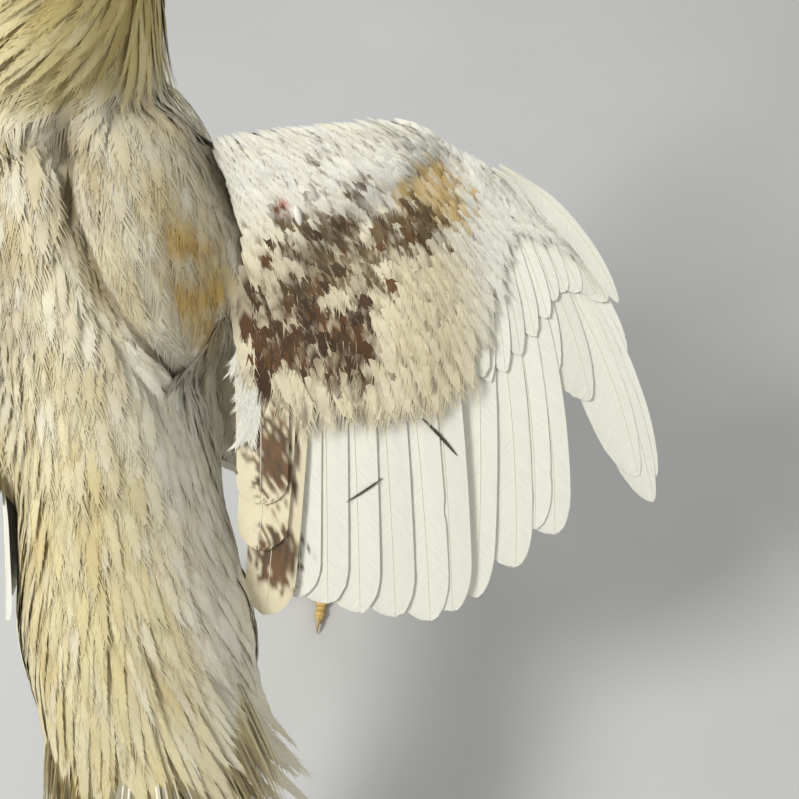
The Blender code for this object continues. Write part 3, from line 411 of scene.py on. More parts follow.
def new_material(name):
    """A material with its shader, and a helper that adds nodes and links their inputs."""
    material = bpy.data.materials.new(name)
    material.use_nodes = True
    tree = material.node_tree
    shader = tree.nodes["Principled BSDF"]

    def add(kind, settings=None, **inputs):
        node = tree.nodes.new(kind)
        for key, value in (settings or {}).items():
            setattr(node, key, value)
        for key, value in inputs.items():
            socket = node.inputs[int(key[1:])] if key[1:].isdigit() else node.inputs[key.replace("_", " ")]
            if isinstance(value, bpy.types.NodeSocket):
                tree.links.new(value, socket)
            else:
                socket.default_value = value
        return node

    return material, shader, add, tree.links


def math_node(add, operation, first, second=0.5):
    """The result of one Math node."""
    return add("ShaderNodeMath", {"operation": operation}, i0=first, i1=second).outputs[0]


def dress_shader(shader, add, link, shade, height, relief, distance, **values):
    """Links the mesh's Tint scaled by shade and a bump of height, and sets other inputs by their names."""
    tint = add("ShaderNodeAttribute", {"attribute_name": "Tint"})
    coloured = add("ShaderNodeVectorMath", {"operation": "SCALE"}, i0=tint.outputs[0], i3=shade)
    link.new(coloured.outputs[0], shader.inputs["Base Color"])
    bump = add("ShaderNodeBump", Strength=relief, Distance=distance, Height=height)
    link.new(bump.outputs[0], shader.inputs["Normal"])
    for name, value in values.items():
        shader.inputs[name.replace("_", " ")].default_value = value


def feather_material(name, fibre=2.4, relief=0.30, roughness=0.62, slant=1.7, streak=0.08):
    """Vanes of fine slanted barbs on a pale shaft, coloured by the mesh's Tint."""
    material, shader, add, link = new_material(name)
    vane = add("ShaderNodeUVMap", {"uv_map": "Vane"})
    parts = add("ShaderNodeSeparateXYZ", i0=vane.outputs[0])
    across = math_node(add, "ABSOLUTE", parts.outputs[0])
    along = math_node(add, "SUBTRACT", parts.outputs[1], math_node(add, "MULTIPLY", across, slant))
    noises, shades = [], []
    for rate, cross_rate, detail, low, depth, top in (
        (fibre, 0.16, 2.0, 0.25, streak, 1.04), (0.42, 0.10, 1.0, 0.30, 0.6 * streak, 1.02),
    ):
        place = add(
            "ShaderNodeCombineXYZ", i0=math_node(add, "MULTIPLY", along, rate),
            i1=math_node(add, "MULTIPLY", parts.outputs[0], cross_rate),
        )
        flat = {"noise_dimensions": "2D"}
        noise = add("ShaderNodeTexNoise", flat, Vector=place.outputs[0], Scale=1.0, Detail=detail)
        shade = add(
            "ShaderNodeMapRange", Value=noise.outputs[0], From_Min=low, From_Max=1 - low, To_Min=1 - depth,
            To_Max=top,
        )
        noises.append(noise.outputs[0])
        shades.append(shade.outputs[0])
    dress_shader(
        shader, add, link, math_node(add, "MULTIPLY", *shades),
        math_node(add, "ADD", noises[0], math_node(add, "MULTIPLY", noises[1], 0.8)), relief, 0.00022,
        Roughness=roughness, Specular_IOR_Level=0.3, Sheen_Weight=0.15, Sheen_Roughness=0.5,
    )
    return material


def tinted_material(name, roughness=0.5, relief=0.4, scale=900.0, spread=0.12, coat=0.0, distance=0.0002):
    """A surface coloured by the mesh's Tint, with fine mottling and relief."""
    material, shader, add, link = new_material(name)
    place = add("ShaderNodeTexCoord")
    fine = add("ShaderNodeTexNoise", Vector=place.outputs["Object"], Scale=scale, Detail=4.0)
    broad = add("ShaderNodeTexNoise", Vector=place.outputs["Object"], Scale=scale / 9, Detail=3.0)
    both = math_node(add, "ADD", fine.outputs[0], broad.outputs[0])
    shade = add(
        "ShaderNodeMapRange", Value=both, From_Min=0.7, From_Max=1.3, To_Min=1 - spread, To_Max=1 + spread
    )
    dress_shader(
        shader, add, link, shade.outputs[0], both, relief, distance, Roughness=roughness, Coat_Weight=coat
    )
    return material


# Meshes


def scene_object(name, data):
    """A new object of the scene."""
    obj = bpy.data.objects.new(name, data)
    bpy.context.scene.collection.objects.link(obj)
    return obj


def mesh_points(mesh):
    """A mesh's points as an array."""
    points = np.zeros(len(mesh.vertices) * 3)
    mesh.vertices.foreach_get("co", points)
    return points.reshape(-1, 3)


def mesh_normals(mesh):
    """The normals at a mesh's points."""
    return np.array([vertex.normal[:] for vertex in mesh.vertices])


def mesh_faces(mesh):
    """A mesh's faces as tuples of point numbers."""
    return [tuple(face.vertices) for face in mesh.polygons]


def add_piece(name, points, faces, material, tint=None, uvs=None, replaces=(), normals=None):
    """A mesh piece at its place in the frame, with a colour for each point and its maps."""
    mesh = bpy.data.meshes.new(name)
    points = np.asarray(points, float).reshape(-1, 3)
    if isinstance(faces, list):
        mesh.from_pydata((points + PLACE).tolist(), [], faces)
    else:
        count, sides = faces.shape
        mesh.vertices.add(len(points))
        mesh.vertices.foreach_set("co", (points + PLACE).astype(np.float32).ravel())
        mesh.loops.add(count * sides)
        mesh.loops.foreach_set("vertex_index", faces.astype(np.int32).ravel())
        mesh.polygons.add(count)
        mesh.polygons.foreach_set("loop_start", np.arange(count, dtype=np.int32) * sides)
        mesh.update(calc_edges=True)
    if tint is not None:
        layer = mesh.color_attributes.new("Tint", "FLOAT_COLOR", "POINT")
        colours = np.ones((len(points), 4), np.float32)
        colours[:, :3] = np.broadcast_to(tint, points.shape)
        layer.data.foreach_set("color", colours.ravel())
    corner = np.zeros(len(mesh.loops), np.int32)
    mesh.loops.foreach_get("vertex_index", corner)
    for layer_name, places in (uvs or {}).items():
        layer = mesh.uv_layers.new(name=layer_name)
        layer.data.foreach_set("uv", np.asarray(places, np.float32)[corner].ravel())
    mesh.polygons.foreach_set("use_smooth", np.full(len(mesh.polygons), True))
    mesh.materials.append(material)
    mesh.update()
    if normals is not None:
        mesh.normals_split_custom_set_from_vertices(normals.reshape(-1, 3).tolist())
    obj = scene_object(name, mesh)
    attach(obj, "root")
    if replaces:
        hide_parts(*replaces)
    return obj


def grid_faces(rows, columns, closed=False):
    """The quads of a grid of points, whose columns may close into a ring."""
    across = columns if closed else columns - 1
    r, c = np.meshgrid(np.arange(rows - 1), np.arange(across), indexing="ij")
    beside = (c + 1) % columns
    return np.stack(
        (r * columns + c, r * columns + beside, (r + 1) * columns + beside, (r + 1) * columns + c), -1
    ).reshape(-1, 4)


def tube_points(centres, sides, ups, widths, rises, drops, segments):
    """Rings of an oval tube, with different heights above and below its middle."""
    turn = circle(segments)
    high = np.where(np.sin(turn) > 0, rises[:, None], drops[:, None])
    return (
        centres[:, None]
        + sides[:, None] * (widths[:, None] * np.cos(turn))[..., None]
        + ups[:, None] * (high * np.sin(turn))[..., None]
    )


def closed_tube(rings):
    """Points and faces of a tube whose ends are closed."""
    count, segments = rings.shape[:2]
    points = rings.reshape(-1, 3)
    faces = grid_faces(count, segments, closed=True).tolist()
    faces.append(list(range(segments))[::-1])
    faces.append(list(range((count - 1) * segments, count * segments)))
    return points, faces


def frames_along(centres, side):
    """Headings, sides and ups along a line of points, with side held across it."""
    heading = unit(np.gradient(centres, axis=0))
    across = unit(side - heading * (heading @ side)[:, None])
    return heading, across, np.cross(across, heading)


def spaced(points, limits, cell):
    """Numbers of the points that stand off all earlier ones by their own limit, which is up to a cell."""
    grid = {}
    kept = []
    for i, (x, y, z) in enumerate(points):
        key = (int(x // cell), int(y // cell), int(z // cell))
        near = (
            points[j]
            for dx in (-1, 0, 1) for dy in (-1, 0, 1) for dz in (-1, 0, 1)
            for j in grid.get((key[0] + dx, key[1] + dy, key[2] + dz), ())
        )
        limit = limits[i] ** 2
        if all((p[0] - x) ** 2 + (p[1] - y) ** 2 + (p[2] - z) ** 2 > limit for p in near):
            grid.setdefault(key, []).append(i)
            kept.append(i)
    return kept


class Surface:
    """A smooth guide surface that feathers are laid over."""

    def __init__(self, mesh):
        self.points = mesh_points(mesh)
        self.faces = mesh_faces(mesh)
        normals = mesh_normals(mesh)
        self.normals = unit(np.array([normals[list(face)].mean(0) for face in self.faces]))
        self.tree = BVHTree.FromPolygons([Vector(p) for p in self.points], self.faces)

    def nearest(self, points):
        """The nearest places on the surface, and its normals there."""
        places = np.empty_like(points)
        found = np.empty(len(points), int)
        for i, point in enumerate(points):
            place, _, face, _ = self.tree.find_nearest(Vector(point))
            places[i] = place
            found[i] = face
        return places, self.normals[found]

    def scatter(self, spacing_of, tries, seed):
        """Random places on the surface that keep the spacing asked for, and none where it is 0."""
        chance = np.random.default_rng(seed)
        corners = np.array([face[:3] for face in self.faces])
        a, b, c = (self.points[corners[:, k]] for k in range(3))
        area = np.linalg.norm(np.cross(b - a, c - a), axis=1)
        pick = chance.choice(len(area), tries, p=area / area.sum())
        first, second = chance.random(tries), chance.random(tries)
        points = a[pick] + (b - a)[pick] * first[:, None] + (c - a)[pick] * second[:, None]
        spacing = spacing_of(points)
        points, spacing = points[spacing > 0], spacing[spacing > 0]
        return points[spaced(points, spacing, spacing.max())]


def drape(surface, roots, flow, lengths, jitter, seed):
    """Paths that start at roots and follow the flow over the surface: places, sides and normals."""
    chance = np.random.default_rng(seed)
    place, normal = surface.nearest(roots)
    heading = square_to(flow(place), normal)
    heading = unit(heading + np.cross(heading, normal) * chance.normal(0, jitter, (len(roots), 1)))
    places, normals, sides = [], [], []
    for k in range(PATH_STEPS + 1):
        places.append(place)
        normals.append(normal)
        sides.append(np.cross(heading, normal))
        if k == PATH_STEPS:
            break
        ahead = place + heading * (lengths / PATH_STEPS)[:, None] + normal * 0.002
        held, new_normal = surface.nearest(ahead)
        hold = smooth(-0.300, -0.255, body_coordinates(ahead)[1])[:, None]
        place = held * hold + (ahead - normal * 0.002 - UP * 0.0012) * (1 - hold)
        normal = unit(normal * 0.6 + new_normal * hold + 0.4 * normal * (1 - hold))
        heading = square_to(heading * 0.65 + flow(place) * 0.35, normal)
    return np.stack(places, 1), np.stack(sides, 1), np.stack(normals, 1)


# Half widths along a small feather, from root to tip: with a round end and with a pointed one.
ROUND = np.array((0.30, 0.62, 0.86, 1.00, 1.00, 0.94, 0.72, 0.14))
POINTED = np.array((0.35, 0.66, 0.90, 1.00, 0.94, 0.76, 0.46, 0.03))
# A small feather: rows of its vane, free barbs along each edge, how far its edges droop, steps of its path.
ROWS = 8
BARBS = 20
CUP = 0.05
PATH_STEPS = 6
# The most triangles of one coat mesh.
MAX_TRIANGLES = 185000


def along_path(path, share):
    """Values at shares of each path, where path is (count, rows, 3) and share (count, ...)."""
    count, rows = path.shape[:2]
    place = np.clip(share, 0, 1) * (rows - 1)
    low = np.minimum(place.astype(int), rows - 2)
    index = np.arange(count).reshape((-1,) + (1,) * (share.ndim - 1))
    rest = (place - low)[..., None]
    return path[index, low] * (1 - rest) + path[index, low + 1] * rest


def vane_triangles():
    """Triangles of one feather: its vane on both sides of the shaft, and free barbs along both edges.

    Points run left edge, shaft, right edge for each row, then the three corners of each free barb.
    """
    i = np.arange(ROWS)
    left, shaft, right = 3 * i, 3 * i + 1, 3 * i + 2
    free = 3 * (ROWS + 1) + 3 * np.arange(2 * BARBS)
    return np.concatenate((
        np.stack((left, shaft, shaft + 3), -1), np.stack((left, shaft + 3, left + 3), -1),
        np.stack((shaft, right, right + 3), -1), np.stack((shaft, right + 3, shaft + 3), -1),
        np.stack((free, free + 1, free + 2), -1),
    ))


def side_by_side(*parts):
    """Values for the points of a vane and of its barbs, in one row for each feather."""
    return np.concatenate([part.reshape(len(part), -1) for part in parts], 1)


def feather_vanes(centres, sides, normals, widths, pointed, seed, loose, closed, splay=27.0, reach_out=1.5):
    """Soft feathers: a vane that follows a path, with a fringe of free barbs round its edge.

    Gives points (count, points, 3), shading normals, and each point's share along, across and barb number.
    """
    chance = np.random.default_rng(seed)
    count = len(centres)
    length = np.linalg.norm(np.diff(centres, axis=1), axis=-1).sum(1)[:, None]
    width, sharp = widths[:, None], np.broadcast_to(pointed, (count,))[:, None]
    loose = np.broadcast_to(loose, (count,))[:, None]

    def half_at(end, sharp):
        steps = np.linspace(0, 1, len(ROUND))
        return np.interp(end, steps, ROUND) * (1 - sharp) + np.interp(end, steps, POINTED) * sharp

    end = 1 - 0.97 * (1 - np.linspace(0, 1, ROWS + 1)) ** 1.35 + chance.normal(0, 0.008, (count, ROWS + 1))
    reach = width * half_at(end, sharp) * closed * chance.uniform(0.86, 1.05, end.shape)
    root = np.maximum.accumulate(np.clip(end - (1.0 + 0.8 * sharp) * reach / length, 0.0, 1.0), axis=1)
    steps = (np.arange(BARBS) + chance.random((2, count, BARBS))) / BARBS
    base = 0.30 + 0.70 * steps ** 0.80
    inner = width * half_at(base, sharp) * chance.uniform(0.45, 0.95, base.shape) * closed
    angle = np.radians(splay - 0.44 * splay * sharp) * chance.normal(1.0, 0.18, base.shape)
    free = reach_out * width * (0.40 + 1.3 * loose) * chance.uniform(0.5, 1.3, base.shape)
    free = free * (0.6 + 0.7 * smooth(0.5, 0.95, base))
    thick = (0.0007 + 0.07 * width) / length
    tip = base + free * np.cos(angle) / length
    outer = inner + free * np.sin(angle)
    first = np.stack((base[0] - thick, base[0] + thick, tip[0]), -1)
    second = np.stack((base[1] - thick, tip[1], base[1] + thick), -1)
    left = np.stack((-inner[0], -inner[0], -outer[0]), -1)
    right = np.stack((inner[1], outer[1], inner[1]), -1)
    share = side_by_side(np.stack((end, root, end), -1), first, second)
    across = side_by_side(np.stack((-reach, 0 * reach, reach), -1), left, right)
    barb = np.repeat(np.arange(ROWS + 1 + 2 * BARBS), 3)
    place = along_path(centres, share)
    face = unit(along_path(normals, share))
    beside = along_path(sides, share)
    heading = np.cross(face, beside)
    place = place + heading * (np.maximum(share - 1, 0) * length)[..., None]
    relative = across / width
    raised = 0.00012 * (barb > ROWS) * chance.uniform(0.2, 1.6, share.shape)
    lift = raised - CUP * width * np.minimum(relative**2, 1.3)
    points = place + beside * across[..., None] + face * lift[..., None]
    tilt = np.clip(relative, -1, 1)[..., None] * beside
    shading = unit(face + 2.0 * CUP * tilt + 0.08 * (share - 0.6)[..., None] * heading)
    return points, shading, share, relative, barb


def coat_piece(name, vanes, lengths, widths, tint, chart, material, seed):
    """Meshes of feathers, in parts of a fair size, with barb coordinates and bake patches."""
    points, shading, share, across, _ = vanes
    chance = np.random.default_rng(seed)
    count, size = share.shape
    vane = np.empty((count, size, 2))
    vane[..., 0] = across * widths[:, None] * 1000
    vane[..., 1] = share * lengths[:, None] * 1000 + chance.uniform(0, 900, (count, 1))
    patch = np.empty_like(vane)
    patch[..., 0] = chart[:, None, 0] + 0.003 * (np.clip(across, -1, 1) / 2 + 0.5)
    patch[..., 1] = chart[:, None, 1] + 0.003 * np.clip(share, 0, 1)
    triangles = vane_triangles()
    groups = int(np.ceil(count * len(triangles) / MAX_TRIANGLES))
    for part, chosen in enumerate(np.array_split(np.arange(count), groups)):
        faces = (triangles[None] + (np.arange(len(chosen)) * size)[:, None, None]).reshape(-1, 3)
        label = name if groups == 1 else f"{name}_{part + 1}"
        add_piece(
            label, points[chosen], faces, material, tint[chosen].reshape(-1, 3),
            {"Vane": vane[chosen].reshape(-1, 2), "OFBake": patch[chosen].reshape(-1, 2)},
            normals=shading[chosen],
        )


# The flow and colours of the plumage


def nearness(points):
    """How far points stand off the neck, the torso and the nearer drumstick."""
    across, along, above = body_coordinates(points)
    height = points[..., 2]
    lean, forward, width, depth = NECK_FORM(height)
    off_neck = (np.hypot((points[..., 0] - lean) / width, (points[..., 1] - forward) / depth) - 1) * width
    off_neck = off_neck + np.maximum(0, height - NECK[-1][0]) + 3 * np.maximum(0, 0.470 - height)
    middle, half, rise, drop = TORSO_FORM(along)
    tall = np.where(above > middle, rise, drop)
    off_torso = (np.hypot(across / half, (above - middle) / tall) - 1) * half
    off_torso = off_torso + np.maximum(0, along - TORSO[-1][0]) + np.maximum(0, TORSO[0][0] - along)
    out, ahead, wide, deep = THIGH_FORM(height)
    off_thigh = (np.hypot((np.abs(points[..., 0]) - out) / wide, (points[..., 1] - ahead) / deep) - 1) * wide
    off_thigh = off_thigh + 0.25 * np.maximum(0, height - 0.262)
    return off_neck, off_torso, off_thigh


def line_gap(across, along, line):
    """How far places are from a line on the body laid flat, and the line's run at its nearest place."""
    place = np.stack((across, along), -1)
    gap = np.full(across.shape, np.inf)
    course = np.zeros(place.shape)
    for first, second in zip(np.array(line[:-1]), np.array(line[1:])):
        run = second - first
        share = np.clip((place - first) @ run / (run @ run), 0, 1)
        distance = np.linalg.norm(place - first - share[..., None] * run, axis=-1)
        nearer = distance < gap
        gap = np.where(nearer, distance, gap)
        course = np.where(nearer[..., None], unit(run), course)
    return gap, course


def fold_gap(points):
    """How far points are from the nearer valley in the upper plumage, and the way that valley runs."""
    across, along, above = body_coordinates(points)
    gap, course = line_gap(across, along, SHOULDER_FOLD)
    wing_gap, wing_course = line_gap(across, along, WING_FOLD)
    course = np.where((wing_gap < gap)[..., None], wing_course, course)
    return np.minimum(gap, wing_gap) + 10 * np.maximum(0, -0.030 - above), course


def over_wing(across, along, above):
    """1 on the left flank above the folded wing, where the coat stands off further, and 0 elsewhere."""
    return smooth(-0.018, -0.042, across) * smooth(-0.050, -0.020, above) * smooth(-0.04, -0.09, along)


def plumage_flow(points):
    """The way the feathers lie: down the neck, back along the body, down the drumsticks."""
    off_neck, off_torso, off_thigh = nearness(points)
    across, along, above = body_coordinates(points)
    weights = [np.exp(-np.maximum(off, -0.004) / 0.006) for off in (off_neck, off_torso, off_thigh)]
    total = sum(weights)[..., None]
    lean, forward, _, _ = NECK_FORM(points[..., 2])
    lean_low, forward_low, _, _ = NECK_FORM(points[..., 2] - 0.02)
    down_neck = np.stack((lean_low - lean, forward_low - forward, np.full_like(lean, -0.02)), -1)
    outward = np.stack((points[..., 0] - lean, points[..., 1] - forward, np.zeros_like(lean)), -1)
    nape = smooth(-0.3, 0.6, unit(outward) @ DORSAL) * smooth(0.60, 0.50, points[..., 2])
    down_neck = unit(unit(down_neck) + 0.25 * unit(outward) - 1.9 * nape[..., None] * RIGHT)
    flank = np.clip(np.abs(across) / 0.07, 0, 1)[..., None]
    splay = 0.08 + 0.34 * smooth(-0.12, -0.27, along) * np.where(across > 0, 1, 0.45)
    outwards = (np.tanh(across / 0.015) * splay)[..., None]
    rump_edge = smooth(0.024, 0.050, across) * smooth(-0.195, -0.275, along)
    back = unit(-FORWARD + 0.22 * flank * -UP + (outwards + 0.55 * rump_edge[..., None]) * RIGHT)
    folded = over_wing(across, along, above) * smooth(-0.27, -0.21, along)
    back = unit(back - 0.34 * folded[..., None] * RIGHT)
    gap, course = fold_gap(points)
    along_fold = course[..., :1] * RIGHT + course[..., 1:] * FORWARD
    back = unit(mix(back, along_fold, smooth(0.020, 0.005, gap)))
    down_thigh = unit(np.broadcast_to(np.array((0.0, -0.12, -1.0)), points.shape))
    ways = (down_neck, back, down_thigh)
    return unit(sum(weight[..., None] * way for weight, way in zip(weights, ways)) / total)


def plumage_colour(points):
    """The ground colour of the body's plumage, with painted shade and painted light laid over it."""
    across, along, above = body_coordinates(points)
    off_neck = nearness(points)[0]
    height = points[..., 2]
    upper = smooth(-0.05, 0.01, above)
    colour = mix(PALE_CREAM, BACK_CREAM, upper * smooth(0.04, -0.06, along) * 0.9)
    middle_back = smooth(0.075, 0.02, np.abs(across + 0.012))
    colour = mix(colour, SADDLE_CREAM, upper * smooth(-0.10, -0.20, along) * (0.35 + 0.65 * middle_back))
    grain = np.array((1.0, 0.30, 0.30))
    colour = mix(colour, STRAW, upper * smooth(0.0, 0.9, ripple(points * grain, 0.020, 4)) * 0.42)
    colour = mix(colour, UMBER_SHADE, upper * smooth(0.2, 1.0, ripple(points * grain, 0.0080, 14)) * 0.22)
    colour = mix(colour, WHITE, upper * smooth(0.2, 1.0, ripple(points * grain, 0.0110, 15)) * 0.45)
    colour = mix(colour, WHITE, smooth(0.0, -0.05, above + 0.02) * 0.7)
    # Painted light: only the right of the back is whitened.
    painted_light_side = smooth(0.012, 0.050, across + 0.10 * (along + 0.20)) * upper * smooth(-0.08, -0.14, along)
    colour = mix(colour, WHITE, painted_light_side * 0.75)
    # Painted shadow under the hackle cape, in the middle of the back.
    cape_shadow = smooth(0.035, 0.008, np.hypot(across - 0.012, (along + 0.030) * 0.75)) * upper
    colour = mix(colour, UMBER_SHADE, cape_shadow * smooth(-0.9, 0.5, ripple(points, 0.018, 6)) * 0.55)
    # Painted shade on the left of the back.
    left_back_shade = smooth(0.034, 0.010, np.hypot(across + 0.040, (along + 0.075) * 0.55)) * upper
    colour = mix(colour, UMBER_SHADE, left_back_shade * smooth(-0.8, 0.6, ripple(points, 0.016, 8)) * 0.40)
    # Painted shade along the valleys of the plumage.
    hollow = smooth(0.009, 0.0, fold_gap(points)[0])
    colour = mix(colour, UMBER_SHADE * 0.6, hollow * 0.75)
    # Painted shade on the flank under the spread wing.
    under_wing = smooth(0.046, 0.056, across) * smooth(0.010, -0.015, above) * smooth(-0.24, -0.20, along)
    colour = mix(colour, UMBER_SHADE * 0.8, under_wing * smooth(-0.02, -0.08, along) * 0.45)
    hackle = smooth(0.016, 0.002, off_neck) * smooth(0.44, 0.49, height)
    colour = mix(colour, HACKLE_GOLD, hackle * 0.95)
    tawny = smooth(-0.1, 0.9, ripple(points * np.array((2.2, 2.2, 0.6)), 0.040, 3)) * hackle
    colour = mix(colour, HACKLE_SHADE, tawny * 0.6)
    gold = smooth(1.2, 0.6, patch_reach(across, along, BACK_GOLD)) * upper
    colour = mix(colour, GOLD, gold * smooth(-0.7, 0.2, ripple(points, 0.02, 5)) * 0.85)
    return colour


def feather_tint(colour, vanes, chance, spread=0.045, root_shade=0.80, barb_spread=0.035):
    """Colours over feathers: painted shade at the root, a little unlike their neighbours, barb by barb."""
    _, _, share, _, barb = vanes
    count = len(share)
    colour = along_path(colour, share) if colour.ndim == 3 else colour[:, None, :]
    colour = colour * (1 + chance.normal(0, spread, (count, 1, 1)))
    colour = colour * (1 + chance.normal(0, 0.015, (count, 1, 1)) * np.array((0.2, 0.0, -1.4)))
    # Painted shade towards the root, where the feathers lying over it would shade it.
    shade = root_shade + (1 - root_shade) * smooth(0.0, 0.50, share)
    shade = shade * (1 + chance.normal(0, barb_spread, (count, barb.max() + 1)))[:, barb]
    return np.clip(colour * shade[..., None], 0, 0.95)


def neck_chart(points):
    """Bake places of neck feathers, on the neck unrolled."""
    lean, forward, _, _ = NECK_FORM(points[:, 2])
    turn = np.arctan2(points[:, 0] - lean, points[:, 1] - forward)
    return np.stack(
        (0.02 + 0.95 * (turn / (2 * math.pi) + 0.5), 0.02 + 0.95 * (points[:, 2] - 0.40) / 0.30), -1,
    )


def torso_chart(points):
    """Bake places of body feathers, on the torso unrolled."""
    across, along, above = body_coordinates(points)
    middle = TORSO_FORM(along)[0]
    turn = np.arctan2(above - middle, across)
    return np.stack((0.02 + 0.95 * (turn / (2 * math.pi) + 0.5), 0.02 + 0.95 * (along + 0.32) / 0.42), -1)


def thigh_chart(points):
    """Bake places of drumstick feathers: each drumstick unrolled on its half of the image."""
    out, ahead, _, _ = THIGH_FORM(points[:, 2])
    turn = np.arctan2(np.abs(points[:, 0]) - out, points[:, 1] - ahead)
    half = 0.48 * (turn / (2 * math.pi) + 0.5) + np.where(points[:, 0] > 0, 0.51, 0.01)
    return np.stack((half, 0.02 + 0.95 * (points[:, 2] - 0.14) / 0.20), -1)


def wing_chart(points):
    """Bake places of wing coverts: the wing laid flat, its two faces side by side."""
    across, along, above = body_coordinates(points)
    behind = np.maximum(0.0, -along) / ARM_CHORD
    outward = np.maximum(0.0, across - ARM_ROOT) / SPAN
    top = above + ARM_CAMBER * behind**2 + SPAN_DROOP * outward**2 > HAND_LEVEL * smooth(0.18, 0.2, across)
    return np.stack((np.where(top, 0.02, 0.52) + 0.45 * (across - 0.03) / 0.26, 0.9 + along / 0.32), -1)


# The skin


def loft_mesh(rings):
    """A closed mesh, in the design frame, through rings of points."""
    points, faces = closed_tube(rings)
    mesh = bpy.data.meshes.new("loft")
    mesh.from_pydata(points.tolist(), [], faces)
    return mesh


def torso_rings(inset):
    """Rings of the torso, drawn in by the coat's depth."""
    along = np.linspace(TORSO[0][0] + inset, TORSO[-1][0] - inset, 40)
    middle, width, rise, drop = TORSO_FORM(along)
    centres = body(np.zeros(40), along, middle)
    ones = np.ones((40, 1))
    width = np.maximum(width - inset, 0.006)
    rise, drop = np.maximum(rise - inset, 0.005), np.maximum(drop - inset, 0.005)
    return tube_points(centres, ones * RIGHT, ones * DORSAL, width, rise, drop, 40)


def neck_rings(inset):
    """Rings of the neck, drawn in by the coat's depth."""
    height = np.linspace(NECK[0][0], NECK[-1][0], 30)
    lean, forward, width, depth = NECK_FORM(height)
    centres = np.stack((lean, forward, height), -1)
    _, across, up = frames_along(centres, RIGHT)
    return tube_points(centres, across, up, width - inset, depth - inset, depth - inset, 32)


def thigh_rings(side, inset):
    """Rings of one drumstick."""
    height = np.linspace(THIGH[0][0] - 0.004, THIGH[-1][0], 24)
    out, ahead, width, depth = THIGH_FORM(height)
    centres = np.stack((side * out, ahead, height), -1)
    _, across, up = frames_along(centres, RIGHT)
    slim = inset * smooth(0.16, 0.20, height)
    deep = depth - slim - 0.0012
    return tube_points(centres, across, up, width - slim - 0.0012, deep, deep, 28)


def blanket_rings(rows, side, inset):
    """Rings of a bulge that lies on the torso."""
    form = Profile(rows)
    along = np.linspace(rows[0][0], rows[-1][0], 20)
    angle, half, height = form(along)
    turn = circle(24)
    high = np.where(
        np.sin(turn) > 0, np.maximum(height[:, None] - inset, 0.001) * np.sin(turn), 0.012 * np.sin(turn)
    )
    angles = np.radians(angle[:, None] + half[:, None] * np.cos(turn))
    return torso_place(np.broadcast_to(along[:, None], angles.shape), angles, high, side)


def arm_rings(inset):
    """Rings of the spread wing's arm."""
    across = np.linspace(ARM[0][0], ARM[-1][0], 30)
    middle, chord, thick = ARM_FORM(across)
    turn = circle(24)
    along = middle[:, None] + (chord[:, None] - inset) * np.cos(turn)
    above = np.maximum(thick[:, None] - inset, 0.002) * np.sin(turn)
    return wing_place(np.broadcast_to(across[:, None], along.shape), along, above)


def hand_rings(inset):
    """Rings of the spread wing's hand."""
    share = np.linspace(0, 1, 16)
    shares = np.linspace(0, 1, len(HAND))
    rows = np.stack([np.interp(share, shares, column) for column in np.array(HAND).T], -1)
    run = unit(np.gradient(rows[:, :2], axis=0))
    turn = circle(16)
    chord = np.maximum(rows[:, 2] - inset, 0.002)[:, None] * np.cos(turn)
    across = rows[:, 0][:, None] - run[:, 1][:, None] * chord
    along = rows[:, 1][:, None] + run[:, 0][:, None] * chord
    level = HAND_LEVEL + np.maximum(rows[:, 3] - inset, 0.0015)[:, None] * np.sin(turn)
    return wing_place(across, along, level)


def tail_rings(inset):
    """Rings of the tail's fleshy root."""
    widths = np.array((0.030, 0.029, 0.025, 0.018, 0.011, 0.004))
    centres = TAIL_BASE + TAIL_BACK * (0.017 * np.arange(6))[:, None]
    _, across, up = frames_along(centres, RIGHT)
    slim = np.maximum(widths - inset, 0.002)
    return tube_points(centres, across, up, slim, slim * 0.8, slim * 0.8, 20)


def merged_mesh(meshes, voxel, rounds):
    """One even smooth surface round several closed meshes."""
    everything = bmesh.new()
    for mesh in meshes:
        everything.from_mesh(mesh)
        bpy.data.meshes.remove(mesh)
    joined = bpy.data.meshes.new("joined")
    bmesh.ops.recalc_face_normals(everything, faces=everything.faces)
    everything.to_mesh(joined)
    everything.free()
    obj = scene_object("joined", joined)
    remesh = obj.modifiers.new("Even", "REMESH")
    remesh.mode = "VOXEL"
    remesh.voxel_size = voxel
    even = obj.modifiers.new("Smooth", "SMOOTH")
    even.factor = 0.5
    even.iterations = rounds
    graph = bpy.context.evaluated_depsgraph_get()
    result = bpy.data.meshes.new_from_object(obj.evaluated_get(graph))
    bpy.data.objects.remove(obj)
    bpy.data.meshes.remove(joined)
    return result


